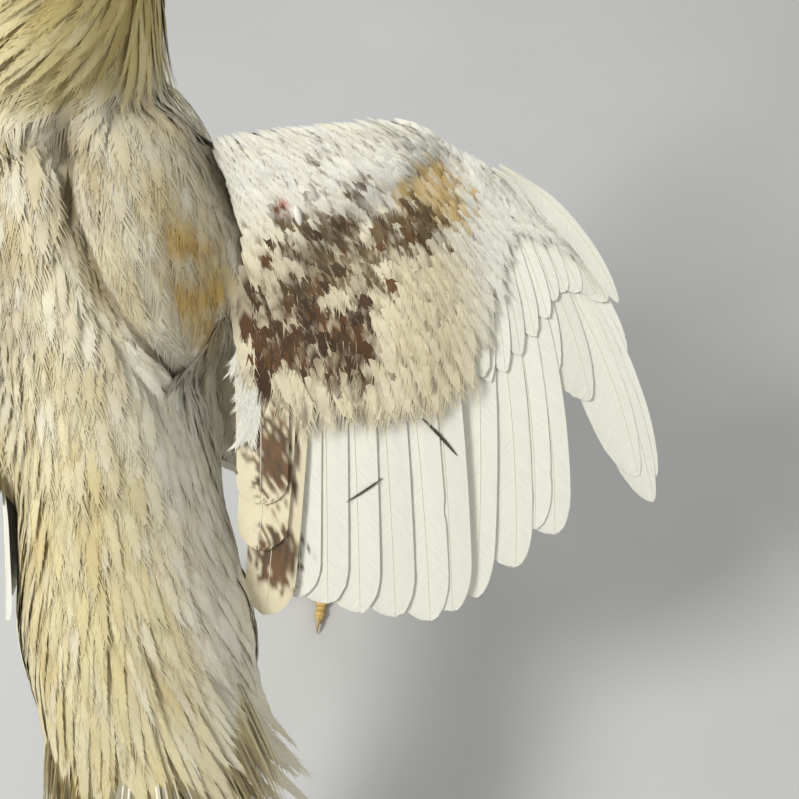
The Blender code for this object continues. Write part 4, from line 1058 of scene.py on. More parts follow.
def make_skin():
    """The one skin of body, neck, drumsticks and both arms, and the surface that carries the coat."""
    meshes = [
        loft_mesh(rings)
        for rings in (
            torso_rings(COAT_DEPTH), neck_rings(NECK_COAT_DEPTH),
            thigh_rings(1, 0.004), thigh_rings(-1, 0.004),
            blanket_rings(SHOULDER_BULGE, 1, 0.004), blanket_rings(FOLDED_ARM, -1, 0.005),
            arm_rings(0.0035), hand_rings(0.0020), tail_rings(0.003),
        )
    ]
    mesh = merged_mesh(meshes, SKIN_VOXEL, 4)
    points = mesh_points(mesh)
    normals = mesh_normals(mesh)
    across, along, above = body_coordinates(points)
    sunk = 0.0050 * np.exp(-((fold_gap(points)[0] / 0.0055) ** 2))
    hollow = smooth(0.036, 0.054, across) * smooth(-0.100, -0.130, along)
    hollow = hollow * smooth(-0.225, -0.180, along) * smooth(-0.060, -0.030, above)
    sunk = sunk + 0.0065 * hollow
    mesh.vertices.foreach_set("co", (points - normals * sunk[:, None]).ravel())
    mesh.update()
    surface = Surface(mesh)
    points = surface.points
    # The skin seen between the feathers takes the plumage's colour darkened, and pink towards the shank: the
    # darkening is painted shade.
    colour = plumage_colour(points) * 0.80
    colour = mix(colour, SKIN_PINK * 0.9, smooth(0.172, 0.164, points[:, 2]))
    material = tinted_material(
        "down_skin", roughness=0.85, relief=0.5, scale=500.0, spread=0.10, distance=0.0006,
    )
    add_piece(
        "body_skin", points, surface.faces, material, colour,
        replaces=("torso", "neck", "thigh_left", "thigh_right", "wing_right_shoulder"),
    )
    bpy.data.meshes.remove(mesh)
    return surface


# Body coat


def region_of(points):
    """Which coat a place on the skin bears: 0 none, 1 neck, 2 body, 3 drumstick."""
    off_neck, off_torso, off_thigh = nearness(points)
    across, along, above = body_coordinates(points)
    region = np.full(len(points), 2)
    region[(off_neck < off_torso + 0.001) & (points[:, 2] > HACKLE_FOOT)] = 1
    region[(off_thigh < off_torso) & (points[:, 2] < THIGH_COAT_TOP)] = 3
    edge = np.interp(-along, FOLD_ALONG, (0.066, 0.072, 0.086, 0.081))
    wing_band = (across > edge) & (above > -0.045) & (above < 0.03) & (along > -0.12) & (along < 0.02)
    region[wing_band | (points[:, 2] < COAT_FOOT) | (along < -0.274)] = 0
    return region


def coat_sizes(points, region):
    """Length, half width, pointedness, looseness and lift of the feather at each root."""
    across, along, above = body_coordinates(points)
    height = points[:, 2]
    top = smooth(-0.06, 0.02, above)
    rear = smooth(-0.07, -0.24, along) * top
    last = smooth(-0.225, -0.285, along) * top
    gap = fold_gap(points)[0]
    near = smooth(0.018, 0.005, gap)
    length = (0.036 + 0.004 * top + 0.046 * rear + 0.022 * last) * (1 - 0.40 * near)
    width = (0.0080 - 0.0014 * top - 0.0018 * rear) * (1 - 0.50 * near)
    pointed = 0.30 + 0.25 * top + 0.40 * rear
    loose = 0.30 - 0.06 * rear
    folded = over_wing(across, along, above)
    flare = smooth(0.030, 0.050, across) * smooth(-0.190, -0.240, along)
    lift = 0.0042 - 0.0026 * near + 0.0042 * folded + 0.0090 * flare
    length = length * (1 + 0.25 * folded)
    low = smooth(0.655, 0.52, height)
    cape = smooth(0.545, 0.505, height)
    neck = region == 1
    length = np.where(neck, 0.018 + 0.046 * low + 0.010 * cape, length)
    width = np.where(neck, 0.0021 + 0.0019 * low, width)
    pointed = np.where(neck, 0.9, pointed)
    loose = np.where(neck, 0.22, loose)
    lift = np.where(neck, 0.0020 + 0.0032 * low + 0.0032 * cape, lift)
    high = smooth(0.17, 0.25, height)
    leg = region == 3
    length = np.where(leg, 0.013 + 0.020 * high, length)
    width = np.where(leg, 0.0036 + 0.0046 * high, width)
    loose = np.where(leg, 0.18, loose)
    lift = np.where(leg, 0.0022 + 0.0026 * high, lift)
    return length, width, pointed, loose, lift


def coat_group(name, surface, roots, region, chart, material, seed, jitter=0.08, root_shade=0.90):
    """The soft feathers of one region of the skin."""
    chance = np.random.default_rng(seed)
    length, width, pointed, loose, lift = coat_sizes(roots, np.full(len(roots), region))
    length = length * chance.uniform(0.80, 1.20, len(roots))
    width = width * chance.uniform(0.80, 1.20, len(roots))
    centres, sides, normals = drape(surface, roots, plumage_flow, length, jitter, seed + 1)
    t = np.linspace(0, 1, PATH_STEPS + 1)
    rise = -0.0006 + lift[:, None] * chance.uniform(0.85, 1.15, (len(roots), 1)) * smooth(0.0, 0.75, t)
    centres = centres + normals * rise[..., None]
    steps = np.linalg.norm(np.diff(centres, axis=1), axis=-1).sum(1)
    run = centres[:, -1] - centres[:, 0]
    kept = np.linalg.norm(run, axis=-1) > 0.86 * steps
    rump = smooth(-0.20, -0.25, body_coordinates(roots)[1])
    kept &= (np.sum(unit(run) * plumage_flow(roots), axis=-1) > 0.70 + 0.20 * rump) & (run[:, 2] < 0.004)
    roots, length, width, pointed, loose = roots[kept], length[kept], width[kept], pointed[kept], loose[kept]
    centres, sides, normals = centres[kept], sides[kept], normals[kept]
    vanes = feather_vanes(
        centres, sides, normals, width, pointed, seed + 2, loose=loose, closed=0.74, splay=20.0,
        reach_out=1.7,
    )
    colour = plumage_colour(centres)
    kind = chance.random((len(roots), 1))
    lighter, darker = (0.22, 0.50) if region == 1 else (0.24, 0.22)
    if region == 1:
        colour = mix(colour, HACKLE_GOLD, smooth(0.56, 0.52, roots[:, 2])[:, None] * 0.7)
    colour = mix(colour, WHITE, smooth(0.70, 0.95, kind) * lighter)
    colour = mix(colour, HACKLE_SHADE if region == 1 else STRAW, smooth(0.25, 0.0, kind) * darker)
    tint = feather_tint(colour, vanes, chance, spread=0.028, root_shade=root_shade)
    coat_piece(name, vanes, length, width, tint, chart(roots), material, seed + 3)


def make_body_coat(surface, material):
    """Feathers of the neck, body and drumsticks."""

    def spacing(points):
        region = region_of(points)
        size = np.array((0.0, 0.0037, 0.0050, 0.0048))[region]
        fine = smooth(0.58, 0.655, points[:, 2]) * (region == 1)
        return size * (1 - 0.34 * fine) * (fold_gap(points)[0] > 0.0030)

    roots = surface.scatter(spacing, 240000, SEED)
    region = region_of(roots)
    neck = roots[(region == 1) & (roots[:, 2] < HACKLE_TOP)]
    coat_group("hackle", surface, neck, 1, neck_chart, material, 100, jitter=0.06, root_shade=0.80)
    coat_group("body_feathers", surface, roots[region == 2], 2, torso_chart, material, 200)
    coat_group("thigh_feathers", surface, roots[region == 3], 3, thigh_chart, material, 300)


# Wing coverts


def dome(share):
    """Height of a half circle at a share of its radius, and 0 beyond it."""
    return np.sqrt(np.clip(1 - share**2, 0, 1))


def hand_rise(across, along):
    """Height of the hand over its own level, and 0 beside it."""
    middle, chord, thick = HAND_FORM(across)
    inside = (across > HAND[0][0]) & (across < HAND[-1][0])
    return np.where(inside, thick * dome((along - middle) / (1.4 * chord)), 0.0)


def wing_top(across, along):
    """Height of the feathered top of the spread wing, with the step at the wrist softened."""
    soft = smooth(0.150, 0.170, across) * smooth(0.215, 0.200, across)
    near = [
        wing_height(across + soft * shift, along + 0.6 * soft * shift)
        for shift in (-0.012, -0.006, 0.006, 0.012)
    ]
    return (wing_height(across, along) + sum(near)) / 5


def wing_height(across, along):
    """Height of the arm, the hand and the long coverts behind them over the wing's plane."""
    middle, chord, thick = ARM_FORM(across)
    over = thick * dome((along - middle) / chord) * smooth(0.204, 0.180, across)
    within = smooth(0.001, -0.012, along - EDGE_FORM(across)[0])
    outer = smooth(0.16, 0.21, across)
    behind = (0.0056 - 0.0010 * smooth(-0.09, -0.16, along)) * (1 - outer) + (HAND_LEVEL + 0.0042) * outer
    return np.maximum(np.maximum(over, HAND_LEVEL + hand_rise(across, along)), behind * within)


def wing_bottom(across, along):
    """Depth of the feathered underside of the spread wing below its plane."""
    middle, chord, thick = ARM_FORM(across)
    over = thick * dome((along - middle) / chord) * (across < 0.192)
    outer = smooth(0.18, 0.20, across)
    behind = 0.0022 + 0.0020 * outer
    within = smooth(0.001, -0.012, along - EDGE_FORM(across)[0])
    hand = (hand_rise(across, along) - HAND_LEVEL) * outer
    return -np.maximum(np.maximum(over * 0.95, hand), behind * within)


def covert_turn(across, along):
    """How far coverts point outwards, in radians: most near the leading edge and on the hand."""
    back = EDGE_FORM(across)[0] - along
    arm = np.interp(back, (0.0, 0.03, 0.06, 0.10, 0.13), (58, 44, 30, 16, 8)) * smooth(0.02, 0.11, across)
    hand = np.interp(across, (0.17, 0.20, 0.22, 0.235, 0.25, 0.27), (8, 20, 30, 38, 44, 48))
    outer = smooth(0.17, 0.21, across)
    return np.radians(arm * (1 - outer) + hand * outer)


def covert_back(across):
    """How far behind the leading edge the roots of the small coverts reach."""
    places = (0.062, 0.08, 0.10, 0.14, 0.17, 0.188, 0.203, 0.215, 0.235, 0.262)
    return np.interp(across, places, (0.086, 0.098, 0.114, 0.118, 0.114, 0.092, 0.056, 0.028, 0.015, 0.006))


def scatter_flat(tries, seed):
    """Random places on the wing laid flat and inside the covert area, wider apart towards the back."""
    chance = np.random.default_rng(seed)
    across = chance.uniform(0.066, 0.258, tries)
    back = chance.random(tries) * covert_back(across)
    limits = 0.0026 + 0.0018 * np.clip(back / 0.09, 0, 1)
    along = EDGE_FORM(across)[0] - 0.0015 - back
    inside = across > np.interp(-along, FOLD_ALONG, (0.069, 0.075, 0.084, 0.074))
    across, along, back, limits = across[inside], along[inside], back[inside], limits[inside]
    kept = spaced(np.stack((across, along, 0 * along), -1), limits, limits.max())
    return across[kept], along[kept], back[kept]


def patch_shares(across, along):
    """Shares of brown and of gold on the coverts at places of the wing laid flat, in streaks."""
    flat = np.stack((across, along), -1)
    turned = np.stack((across * 0.87 + along * 0.50, (along * 0.87 - across * 0.50) * 0.22), -1)
    noise = ripple(flat, 0.020, 11) * 0.25 + ripple(turned, 0.0044, 12) * 0.30
    brown = smooth(1.20, 0.95, patch_reach(across, along, BROWN_PATCH) + noise * 0.9)
    streak = smooth(1.10, 0.80, patch_reach(across, along, STREAKED_PATCH) + noise * 2.1)
    lower = smooth(1.10, 0.80, patch_reach(across, along, LOWER_PATCH) + noise * 1.9)
    gold = smooth(1.25, 0.80, patch_reach(across, along, GOLD_PATCH) + noise)
    rim = smooth(1.15, 0.85, patch_reach(across, along, GOLD_RIM) + noise * 1.2)
    return np.maximum(brown, np.maximum(np.maximum(streak, lower) * 0.85, rim * 0.90)), gold


def wing_ground(across, along):
    """Ground colour of the spread wing: white in front, cream over the greater coverts."""
    back = EDGE_FORM(across)[0] - along
    colour = mix(WHITE, CREAM, smooth(0.030, 0.080, back))
    return mix(colour, WHITE, smooth(0.185, 0.215, across))


def covert_tint(flat, vanes, chance, top):
    """Colours of the small coverts, with brown and gold streaks where the photograph shows them."""
    _, _, share, beside, barb = vanes
    across, along = flat[..., 0], flat[..., 1]
    count = len(across)
    ground = wing_ground(across, along) if top else np.broadcast_to(WHITE, across.shape + (3,))
    tint = feather_tint(ground, vanes, chance, spread=0.018, root_shade=0.93, barb_spread=0.02)
    if not top:
        return tint
    brown, gold = patch_shares(across, along)
    marks = np.stack((brown, gold), -1)
    marks = 0.35 * along_path(marks, share) + 0.65 * marks[:, 4:5]
    centre = smooth(1.30, 0.50, np.abs(beside)) * smooth(0.10, 0.38, share)
    strong = np.clip(chance.normal(1.15, 0.42, (count, 1)), 0.0, 1.4) * (0.35 + 0.65 * centre)
    fibre = np.clip(1 + chance.normal(0, 0.30, (count, barb.max() + 1))[:, barb], 0.25, 1.3)
    deep = mix(BROWN, DARK_BROWN, chance.random(count) ** 0.7)
    olive = chance.random(count) * smooth(-0.098, -0.080, along[:, 4])
    deep = mix(deep, OLIVE_BROWN, olive * 0.9)[:, None, :]
    honey = mix(GOLD, CREAM, chance.random(count) * 0.35)[:, None, :]
    tint = mix(tint, honey, np.clip(marks[..., 1] * strong * fibre, 0, 0.85))
    tint = mix(tint, deep, np.clip(1.15 * marks[..., 0] * strong * fibre, 0, 0.98))
    bare = smooth(0.0038, 0.0020, np.hypot(across - BARE_SPOT[0], (along - BARE_SPOT[1]) * 0.8))
    tint = mix(tint, FACE_RED, along_path(bare[..., None], share)[..., 0] * 0.8)
    some = chance.random(count) < 0.24 * (across[:, 3] < 0.2)
    lean = chance.uniform(-0.5, 0.5, (count, 1))
    tick = (
        smooth(0.40, 0.12, np.abs(beside - lean)) * smooth(0.45, 0.7, share)
        * (1 - smooth(0.9, 1.0, share))
    )
    return mix(tint, deep, some[:, None] * tick * 0.7)


def make_wing_coverts(material):
    """The small feathers over both faces of the spread wing's arm and hand."""
    for top in (True, False):
        seed = 520 + 40 * top
        chance = np.random.default_rng(seed)
        across, along, back = scatter_flat(40000, seed + 1)
        count = len(across)
        far = np.clip(back / 0.10, 0, 1) * np.interp(across, (0.18, 0.25), (1.0, 0.55))
        length = (0.0130 + 0.0270 * far) * chance.uniform(0.85, 1.15, count)
        width = (0.0026 + 0.0042 * far) * chance.uniform(0.85, 1.15, count)
        turn = covert_turn(across, along) + chance.normal(0, 0.07, count)
        t = np.linspace(0, 1, PATH_STEPS + 1)
        step = length[:, None] * t
        bend = turn[:, None] - np.radians(7) * t * (across[:, None] < 0.19)
        x = across[:, None] + np.sin(bend) * step
        y = along[:, None] - np.cos(bend) * step
        height_at = wing_top if top else wing_bottom
        sign = 1 if top else -1
        lift = -0.0008 + (0.0017 + 0.0015 * far[:, None]) * smooth(0, 0.6, t)
        centres = wing_place(x, y, height_at(x, y) + sign * lift)
        near_x, near_y = x + np.cos(bend) * 0.0004, y + np.sin(bend) * 0.0004
        aside = wing_place(near_x, near_y, height_at(near_x, near_y) + sign * lift)
        sides = unit(aside - centres) * sign
        heading = unit(np.gradient(centres, axis=1))
        sides = square_to(sides, heading)
        normals = np.cross(sides, heading)
        normals = unit(normals + 0.6 * sign * DORSAL)
        sides = unit(np.cross(heading, normals))
        vanes = feather_vanes(
            centres, sides, normals, width, 0.60, seed + 2, loose=0.26, closed=0.68, splay=21.0, reach_out=1.8
        )
        chart = wing_chart(centres[:, 0])
        tint = covert_tint(np.stack((x, y), -1), vanes, chance, top)
        name = "wing_right_coverts" if top else "wing_right_lining"
        coat_piece(name, vanes, length, width, tint, chart, material, seed + 3)


def make_wing_down(material):
    """Loose white feathers at the inner edge of the wing, over its tertials."""
    chance = np.random.default_rng(600)
    count = 56
    share = np.sort(chance.random(count))
    across = 0.0850 - 0.0070 * share + chance.normal(0, 0.0018, count)
    along = -0.088 - 0.054 * share
    length = chance.uniform(0.019, 0.028, count)
    width = chance.uniform(0.0024, 0.0036, count)
    turn = np.radians(chance.normal(-11, 6, count))[:, None]
    t = np.linspace(0, 1, PATH_STEPS + 1)
    step = length[:, None] * t
    x = across[:, None] + np.sin(turn * (0.4 + t)) * step
    y = along[:, None] - np.cos(turn) * step
    centres = wing_place(x, y, 0.0024 + 0.0042 * smooth(0.0, 0.4, t))
    heading = unit(np.gradient(centres, axis=1))
    normals = unit(DORSAL - heading * (heading @ DORSAL)[..., None])
    sides = np.cross(heading, normals)
    vanes = feather_vanes(
        centres, sides, normals, width, 0.55, 602, loose=0.34, closed=0.60, splay=26.0, reach_out=1.7
    )
    tint = feather_tint(np.broadcast_to(WHITE, (count, 3)), vanes, chance, root_shade=0.9)
    coat_piece("wing_right_down", vanes, length, width, tint, wing_chart(centres[:, 0]), material, 603)


def make_pin_feather(material):
    """A new feather that still stands in its white sheath beside a bare spot of skin."""
    t = np.linspace(0, 1, 12)
    across = 0.1128 + 0.0012 * t
    along = -0.0455 - 0.0105 * t
    centres = wing_place(across, along, wing_top(across, along) + 0.0016 + 0.0010 * np.sin(math.pi * t))
    sizes = 0.0019 * np.sin(math.pi * (0.06 + 0.90 * t)) ** 0.7
    _, side, up = frames_along(centres, RIGHT)
    points, faces = closed_tube(tube_points(centres, side, up, sizes, sizes * 0.7, sizes * 0.7, 16))
    add_piece("wing_right_pin_feather", points, faces, material, WHITE)


# Flight feathers


def outline(t, root, blunt, taper):
    """Half width of a long feather at shares along it: it widens from its root, tapers and is rounded off."""
    rise = root + (1 - root) * smooth(-0.05, 0.40, t)
    end = np.clip((t - blunt) / (1 - blunt), 0, 1)
    return rise * (1 - taper * t**2) * np.sqrt(1 - 0.995 * end**2.2)


def barb_places(reach, t, length, seed):
    """Places on one long feather in millimetres across and along its vane, from a start of its own."""
    along = np.broadcast_to((t * length * 1000)[:, None], reach.shape)
    return np.stack((reach * 1000, along + seed * 37 % 900), -1)


def flight_points(place, root, tip, bow, lead, trail, levels, shape, tilt, rows, columns, seed):
    """Points of one long feather whose root and tip lie on a plane that place maps into space."""
    chance = np.random.default_rng(seed)
    start, end = np.array(root), np.array(tip)
    run = end - start
    control = (start + end) / 2 + np.array((-run[1], run[0])) * bow
    t = 1 - (1 - np.linspace(0, 1, rows)) ** 1.6
    centre = start * (1 - t)[:, None] ** 2 + control * (2 * t * (1 - t))[:, None] + end * t[:, None] ** 2
    heading = unit(np.gradient(centre, axis=0))
    ahead = np.stack((-heading[:, 1], heading[:, 0]), -1)
    full = outline(t, *shape)
    u = np.linspace(-1, 1, columns)
    half = np.where(u < 0, trail, lead) * full[:, None]
    bite = np.ones((rows, columns))
    k = chance.integers(rows // 2, rows - 4)
    side = chance.choice((-1, 1))
    depth = chance.uniform(0.02, 0.07)
    bite[k] -= depth * (u * side > 0) * np.abs(u) ** 3
    reach = half * u * bite
    length = np.linalg.norm(np.diff(centre, axis=0), axis=1).sum()
    wave = chance.normal(0, 0.0003, (rows, columns)) * np.abs(u) ** 2
    sweep = 0.22 * np.abs(reach) * smooth(0.0, 0.5, t)[:, None] * smooth(1.0, 0.85, t)[:, None] + wave
    flat = centre[:, None] + ahead[:, None] * reach[..., None] + heading[:, None] * sweep[..., None]
    level = np.interp(t, np.linspace(0, 1, len(levels)), levels)
    above = level[:, None] + tilt * reach - 0.10 * (reach / max(lead, trail)) ** 2 * max(lead, trail) * 0.35
    above = above + chance.normal(0, 0.00010, (rows, columns)) * np.abs(u)
    vane = barb_places(reach, t, length, seed)
    points = place(flat[..., 0], flat[..., 1], above)
    return points, vane, t, u, place(centre[:, 0], centre[:, 1], level + 0.0002), length


def strip_places(across, t):
    """Bake places of one long feather, on its own strip of the image."""
    cell = np.empty((len(t), len(across), 2))
    cell[..., 0] = across
    cell[..., 1] = 0.02 + 0.96 * t[:, None]
    return cell.reshape(-1, 2)


def flight_piece(name, feathers, tint_of, material, shaft_material, replaces=(), shaft=0.00065):
    """Long feathers as one mesh with a bake strip for each, and their shafts as another."""
    points, faces, vanes, cells, tints = [], [], [], [], []
    quills, quill_faces, quill_cells = [], [], []
    count = len(feathers)
    offset = quill_offset = 0
    for i, (grid, vane, t, u, centre, length) in enumerate(feathers):
        rows, columns = grid.shape[:2]
        points.append(grid.reshape(-1, 3))
        faces.append(grid_faces(rows, columns) + offset)
        offset += rows * columns
        vanes.append(vane.reshape(-1, 2))
        cells.append(strip_places((i + 0.5 + 0.46 * u) / count, t))
        tints.append(tint_of(i, grid, t, u).reshape(-1, 3))
        sideways = abs((centre[-1] - centre[0]) @ RIGHT) >= length * 0.7
        _, side, up = frames_along(centre, UP if sideways else RIGHT)
        taper = shaft * (1 - 0.88 * t)
        rings = tube_points(centre, side, up, taper, taper * 0.8, taper * 0.6, 6)
        quills.append(rings.reshape(-1, 3))
        quill_faces.append(grid_faces(rows, 6, closed=True) + quill_offset)
        quill_offset += rows * 6
        quill_cells.append(strip_places((i + 0.05 + 0.9 * (np.arange(6) / 6)) / count, t))
    add_piece(
        name, np.concatenate(points), np.concatenate(faces), material, np.concatenate(tints),
        {"Vane": np.concatenate(vanes), "OFBake": np.concatenate(cells)}, replaces,
    )
    add_piece(
        name + "_shafts", np.concatenate(quills), np.concatenate(quill_faces), shaft_material,
        SHAFT, {"OFBake": np.concatenate(quill_cells)},
    )


# Outlines of long feathers: share of the width at the root, where the tip starts to round off, taper.
ROUND_TIP = (0.12, 0.86, 0.06)
SHARP_TIP = (0.14, 0.66, 0.26)
COVERT_TIP = (0.20, 0.66, 0.0)


def row_of_flights(
    roots, tips, bows, lead, trail, levels, shape, seed, rows=34, columns=15, step_up=0.0, tilt=0.0875,
    settle=(0.0, 0.0),
):
    """Long feathers from a line of roots to their tips; settle lowers them along the row."""
    feathers = []
    count = len(tips)
    for i, tip in enumerate(tips):
        share = i / max(count - 1, 1)
        root = np.array(roots[0]) * (1 - share) + np.array(roots[1]) * share
        bow = np.interp(share, np.linspace(0, 1, len(bows)), bows)
        raised = [
            level + step_up * i - np.interp(share, np.linspace(0, 1, len(settle)), settle)
            for level in levels
        ]
        feathers.append(
            flight_points(
                wing_place, root, tip, bow, lead, trail, raised, shape, tilt, rows, columns, seed + i,
            )
        )
    return feathers


def flight_tint(base, marks=0.0, seed=0):
    """A tint function for long feathers: a pale vane with painted shade at its root and on its inner edge."""

    def tint(i, grid, t, u):
        chance = np.random.default_rng(seed + i)
        colour = base * (1 + chance.normal(0, 0.025))
        # Painted shade: darker at the root and on the inner edge.
        shade = (0.80 + 0.20 * smooth(0.0, 0.35, t))[:, None] * (0.94 + 0.06 * smooth(-1.0, 0.0, u))
        result = colour * shade[..., None]
        if marks:
            across, along, _ = body_coordinates(grid)
            flat = np.stack((across, along), -1)
            blot = smooth(0.35, 0.8, ripple(flat, 0.02, seed + 90)) * smooth(0.5, 0.1, np.abs(u) - 0.2)
            result = mix(result, BROWN, blot * marks)
        return np.clip(result, 0, 0.95)

    return tint


def wing_flight_tint(base, seed):
    """Long feathers of the spread wing, with brown blots where the photograph shows them."""
    plain = flight_tint(base, seed=seed)

    def tint(i, grid, t, u):
        across, along, _ = body_coordinates(grid)
        brown, gold = patch_shares(across, along)
        chance = np.random.default_rng(seed + 300 + i)
        result = mix(plain(i, grid, t, u), FLIGHT_WHITE * 0.97, smooth(0.160, 0.186, across) * 0.9)
        result = mix(result, GOLD, gold * 0.5)
        result = mix(result, BROWN, brown * (chance.random() < 0.75))
        length = np.linalg.norm(grid[-1, len(u) // 2] - grid[0, len(u) // 2])
        along_vane = (t * length)[:, None] - 0.014 * np.abs(u)
        barb = np.stack((along_vane, 0.3 * np.sign(u) * np.ones((len(t), 1))), -1)
        ragged = ripple(barb, 0.0060, seed + 71 + i) * 0.35 + ripple(barb, 0.0026, seed + 81 + i) * 0.35
        upper = smooth(1.15, 0.80, patch_reach(across, along, UPPER_BLOT) + ragged)
        lower = smooth(1.15, 0.80, patch_reach(across, along, LOWER_BLOT) + ragged)
        deep = mix(BROWN, DARK_BROWN, smooth(-0.6, 0.8, ripple(barb, 0.0034, seed + 91 + i)))
        return mix(result, deep, np.maximum(upper, lower) * 0.92 * (along < -0.13))

    return tint


def make_wing_flights(material, shaft_material):
    """The spread wing's long feathers. The greater coverts have one more feather between each two listed."""
    secondaries = row_of_flights(
        SECONDARY_ROOTS, SECONDARY_TIPS, (0.035, 0.0), 0.0120, 0.0215, (0.0, 0.0, 0.0), ROUND_TIP, 700
    )
    flight_piece("secondaries", secondaries, wing_flight_tint(FLIGHT_WHITE, 700), material, shaft_material)
    tertials = row_of_flights(
        TERTIAL_ROOTS, TERTIAL_TIPS, (0.02, 0.04), 0.0150, 0.0135, (0.001, 0.0024, 0.0024), ROUND_TIP, 720,
        step_up=0.0016,
    )
    flight_piece("tertials", tertials, wing_flight_tint(CREAM * 0.96, 720), material, shaft_material)
    inner = row_of_flights(
        INNER_PRIMARY_ROOTS, PRIMARY_TIPS[:4], (0.05, 0.08, 0.10), 0.0095, 0.0225,
        (HAND_LEVEL,) * 3, ROUND_TIP, 740,
    )
    outer = row_of_flights(
        OUTER_PRIMARY_ROOTS, PRIMARY_TIPS[4:], (0.10, 0.10, 0.11, 0.11, 0.10, 0.06), 0.0068, 0.0215,
        (HAND_LEVEL,) * 3, SHARP_TIP, 750,
    )
    flight_piece(
        "primaries", inner + outer, flight_tint(FLIGHT_WHITE * 1.01, seed=740), material, shaft_material,
        ("wing_right_hand",),
    )
    listed = np.array(COVERT_TIPS)
    tips = np.insert(listed, np.arange(1, len(listed)), (listed[:-1] + listed[1:]) / 2, axis=0)
    greater = row_of_flights(
        COVERT_ROOTS, tips, (0.02, 0.0), 0.0085, 0.0105, (0.0032, 0.0050, 0.0044), COVERT_TIP, 760, rows=22,
        columns=11, tilt=0.11, settle=(0.0040, 0.0034, 0.0012, 0.0, 0.0, 0.0),
    )
    flight_piece(
        "greater_coverts", greater, wing_flight_tint(CREAM, 760), material, shaft_material,
        ("wing_right_forearm",), shaft=0.0007,
    )
    hand_coverts = row_of_flights(
        HAND_COVERT_ROOTS, HAND_COVERT_TIPS, (0.06, 0.10), 0.0050, 0.0095,
        (HAND_LEVEL + 0.0030, HAND_LEVEL + 0.0028, HAND_LEVEL + 0.0018), COVERT_TIP, 780, rows=24, columns=11,
    )
    alula = row_of_flights(
        ALULA_ROOTS, ALULA_TIPS, (0.16, 0.16), 0.0036, 0.0075, (HAND_LEVEL + 0.0050, HAND_LEVEL + 0.0042),
        SHARP_TIP, 790, rows=24, columns=9, step_up=0.0010,
    )
    flight_piece(
        "primary_coverts", hand_coverts + alula, flight_tint(FLIGHT_WHITE * 1.01, seed=780), material,
        shaft_material, shaft=0.0006,
    )


# The folded wing's tiers: name, feathers, ends of its line of roots and of tips as (along, angle in
# degrees), width, height over the torso at root and tip, outline.
FOLDED_TIERS = (
    (
        "primary", 8, ((-0.110, -10.0), (-0.135, 6.0)), ((-0.254, -14.0), (-0.286, 5.0)), 0.019,
        (0.0036, 0.0030), SHARP_TIP,
    ),
    (
        "secondary", 9, ((-0.080, -26.0), (-0.150, 17.0)), ((-0.203, -25.0), (-0.238, 18.0)), 0.024,
        (0.0070, 0.0066), ROUND_TIP,
    ),
    (
        "greater", 9, ((-0.058, -26.0), (-0.125, 20.0)), ((-0.132, -25.0), (-0.178, 20.0)), 0.021,
        (0.0108, 0.0100), COVERT_TIP,
    ),
)


def folded_feather(root, tip, width, lifts, shape, tilt, seed, rows=24, columns=11):
    """Points of one feather of the folded wing, from places given as (along, angle in degrees)."""
    chance = np.random.default_rng(seed)
    t = np.linspace(0, 1, rows)
    u = np.linspace(-1, 1, columns)
    along = root[0] + (tip[0] - root[0]) * t
    angle = np.radians(root[1] + (tip[1] - root[1]) * t)
    radius = TORSO_FORM(along)[1]
    half = width / 2 * outline(t, *shape)
    reach = half[:, None] * u
    length = abs(tip[0] - root[0])
    sweep = 0.34 * np.abs(reach) * smooth(0, 0.5, t)[:, None] + chance.normal(0, 0.0004, reach.shape) * u**2
    lift = np.interp(t, np.linspace(0, 1, len(lifts)), lifts)[:, None] - tilt * reach - 0.03 * np.abs(reach)
    points = torso_place(along[:, None] - sweep, angle[:, None] + reach / radius[:, None], lift, -1)
    vane = barb_places(reach, t, length, seed)
    centre = torso_place(along, angle, lift[:, columns // 2] + 0.0003, -1)
    return points, vane, t, u, centre, length


def make_dark_barbs(material):
    """Two stray dark barbs that lie on the secondaries of the spread wing."""
    below = Surface(bpy.data.objects["secondaries"].data)
    t = np.linspace(0, 1, 24)
    for number, (start, end, width) in enumerate(DARK_BARBS):
        across = start[0] + (end[0] - start[0]) * t + 0.0006 * np.sin(math.pi * t)
        along = start[1] + (end[1] - start[1]) * t
        over = wing_place(across, along, 0.05) + PLACE
        hits = [below.tree.ray_cast(Vector(point), Vector(-DORSAL))[0] for point in over]
        centres = np.array([hit for hit in hits if hit is not None]) - PLACE + DORSAL * 0.0009
        _, side, up = frames_along(centres, RIGHT)
        sizes = width * np.sin(math.pi * np.linspace(0.06, 0.97, len(centres))) ** 0.7
        points, faces = closed_tube(tube_points(centres, side, up, sizes, sizes * 0.5, sizes * 0.5, 10))
        add_piece(f"dark_barb_{number + 1}", points, faces, material, tone(66, 62, 44))


def make_folded_wing(material, shaft_material):
    """The left wing, folded on the flank: three tiers of long feathers, partly under the body's coat."""
    for k, (word, count, roots, tips, width, levels, shape) in enumerate(FOLDED_TIERS):
        feathers = []
        for i in range(count):
            share = i / (count - 1)
            root, tip = (
                np.array(ends[0]) * (1 - share) + np.array(ends[1]) * share
                for ends in (roots, tips)
            )
            feathers.append(folded_feather(root, tip, width, levels, shape, 0.12, 800 + 20 * k + i))
        base, marks = (PALE_CREAM, 0.25) if word == "greater" else (FLIGHT_WHITE, 0.0)
        flight_piece(
            "wing_left_" + word, feathers, flight_tint(base, marks, 800 + 20 * k), material,
            shaft_material, ("wing_left",) if word == "secondary" else (), shaft=0.0008,
        )


# Tail


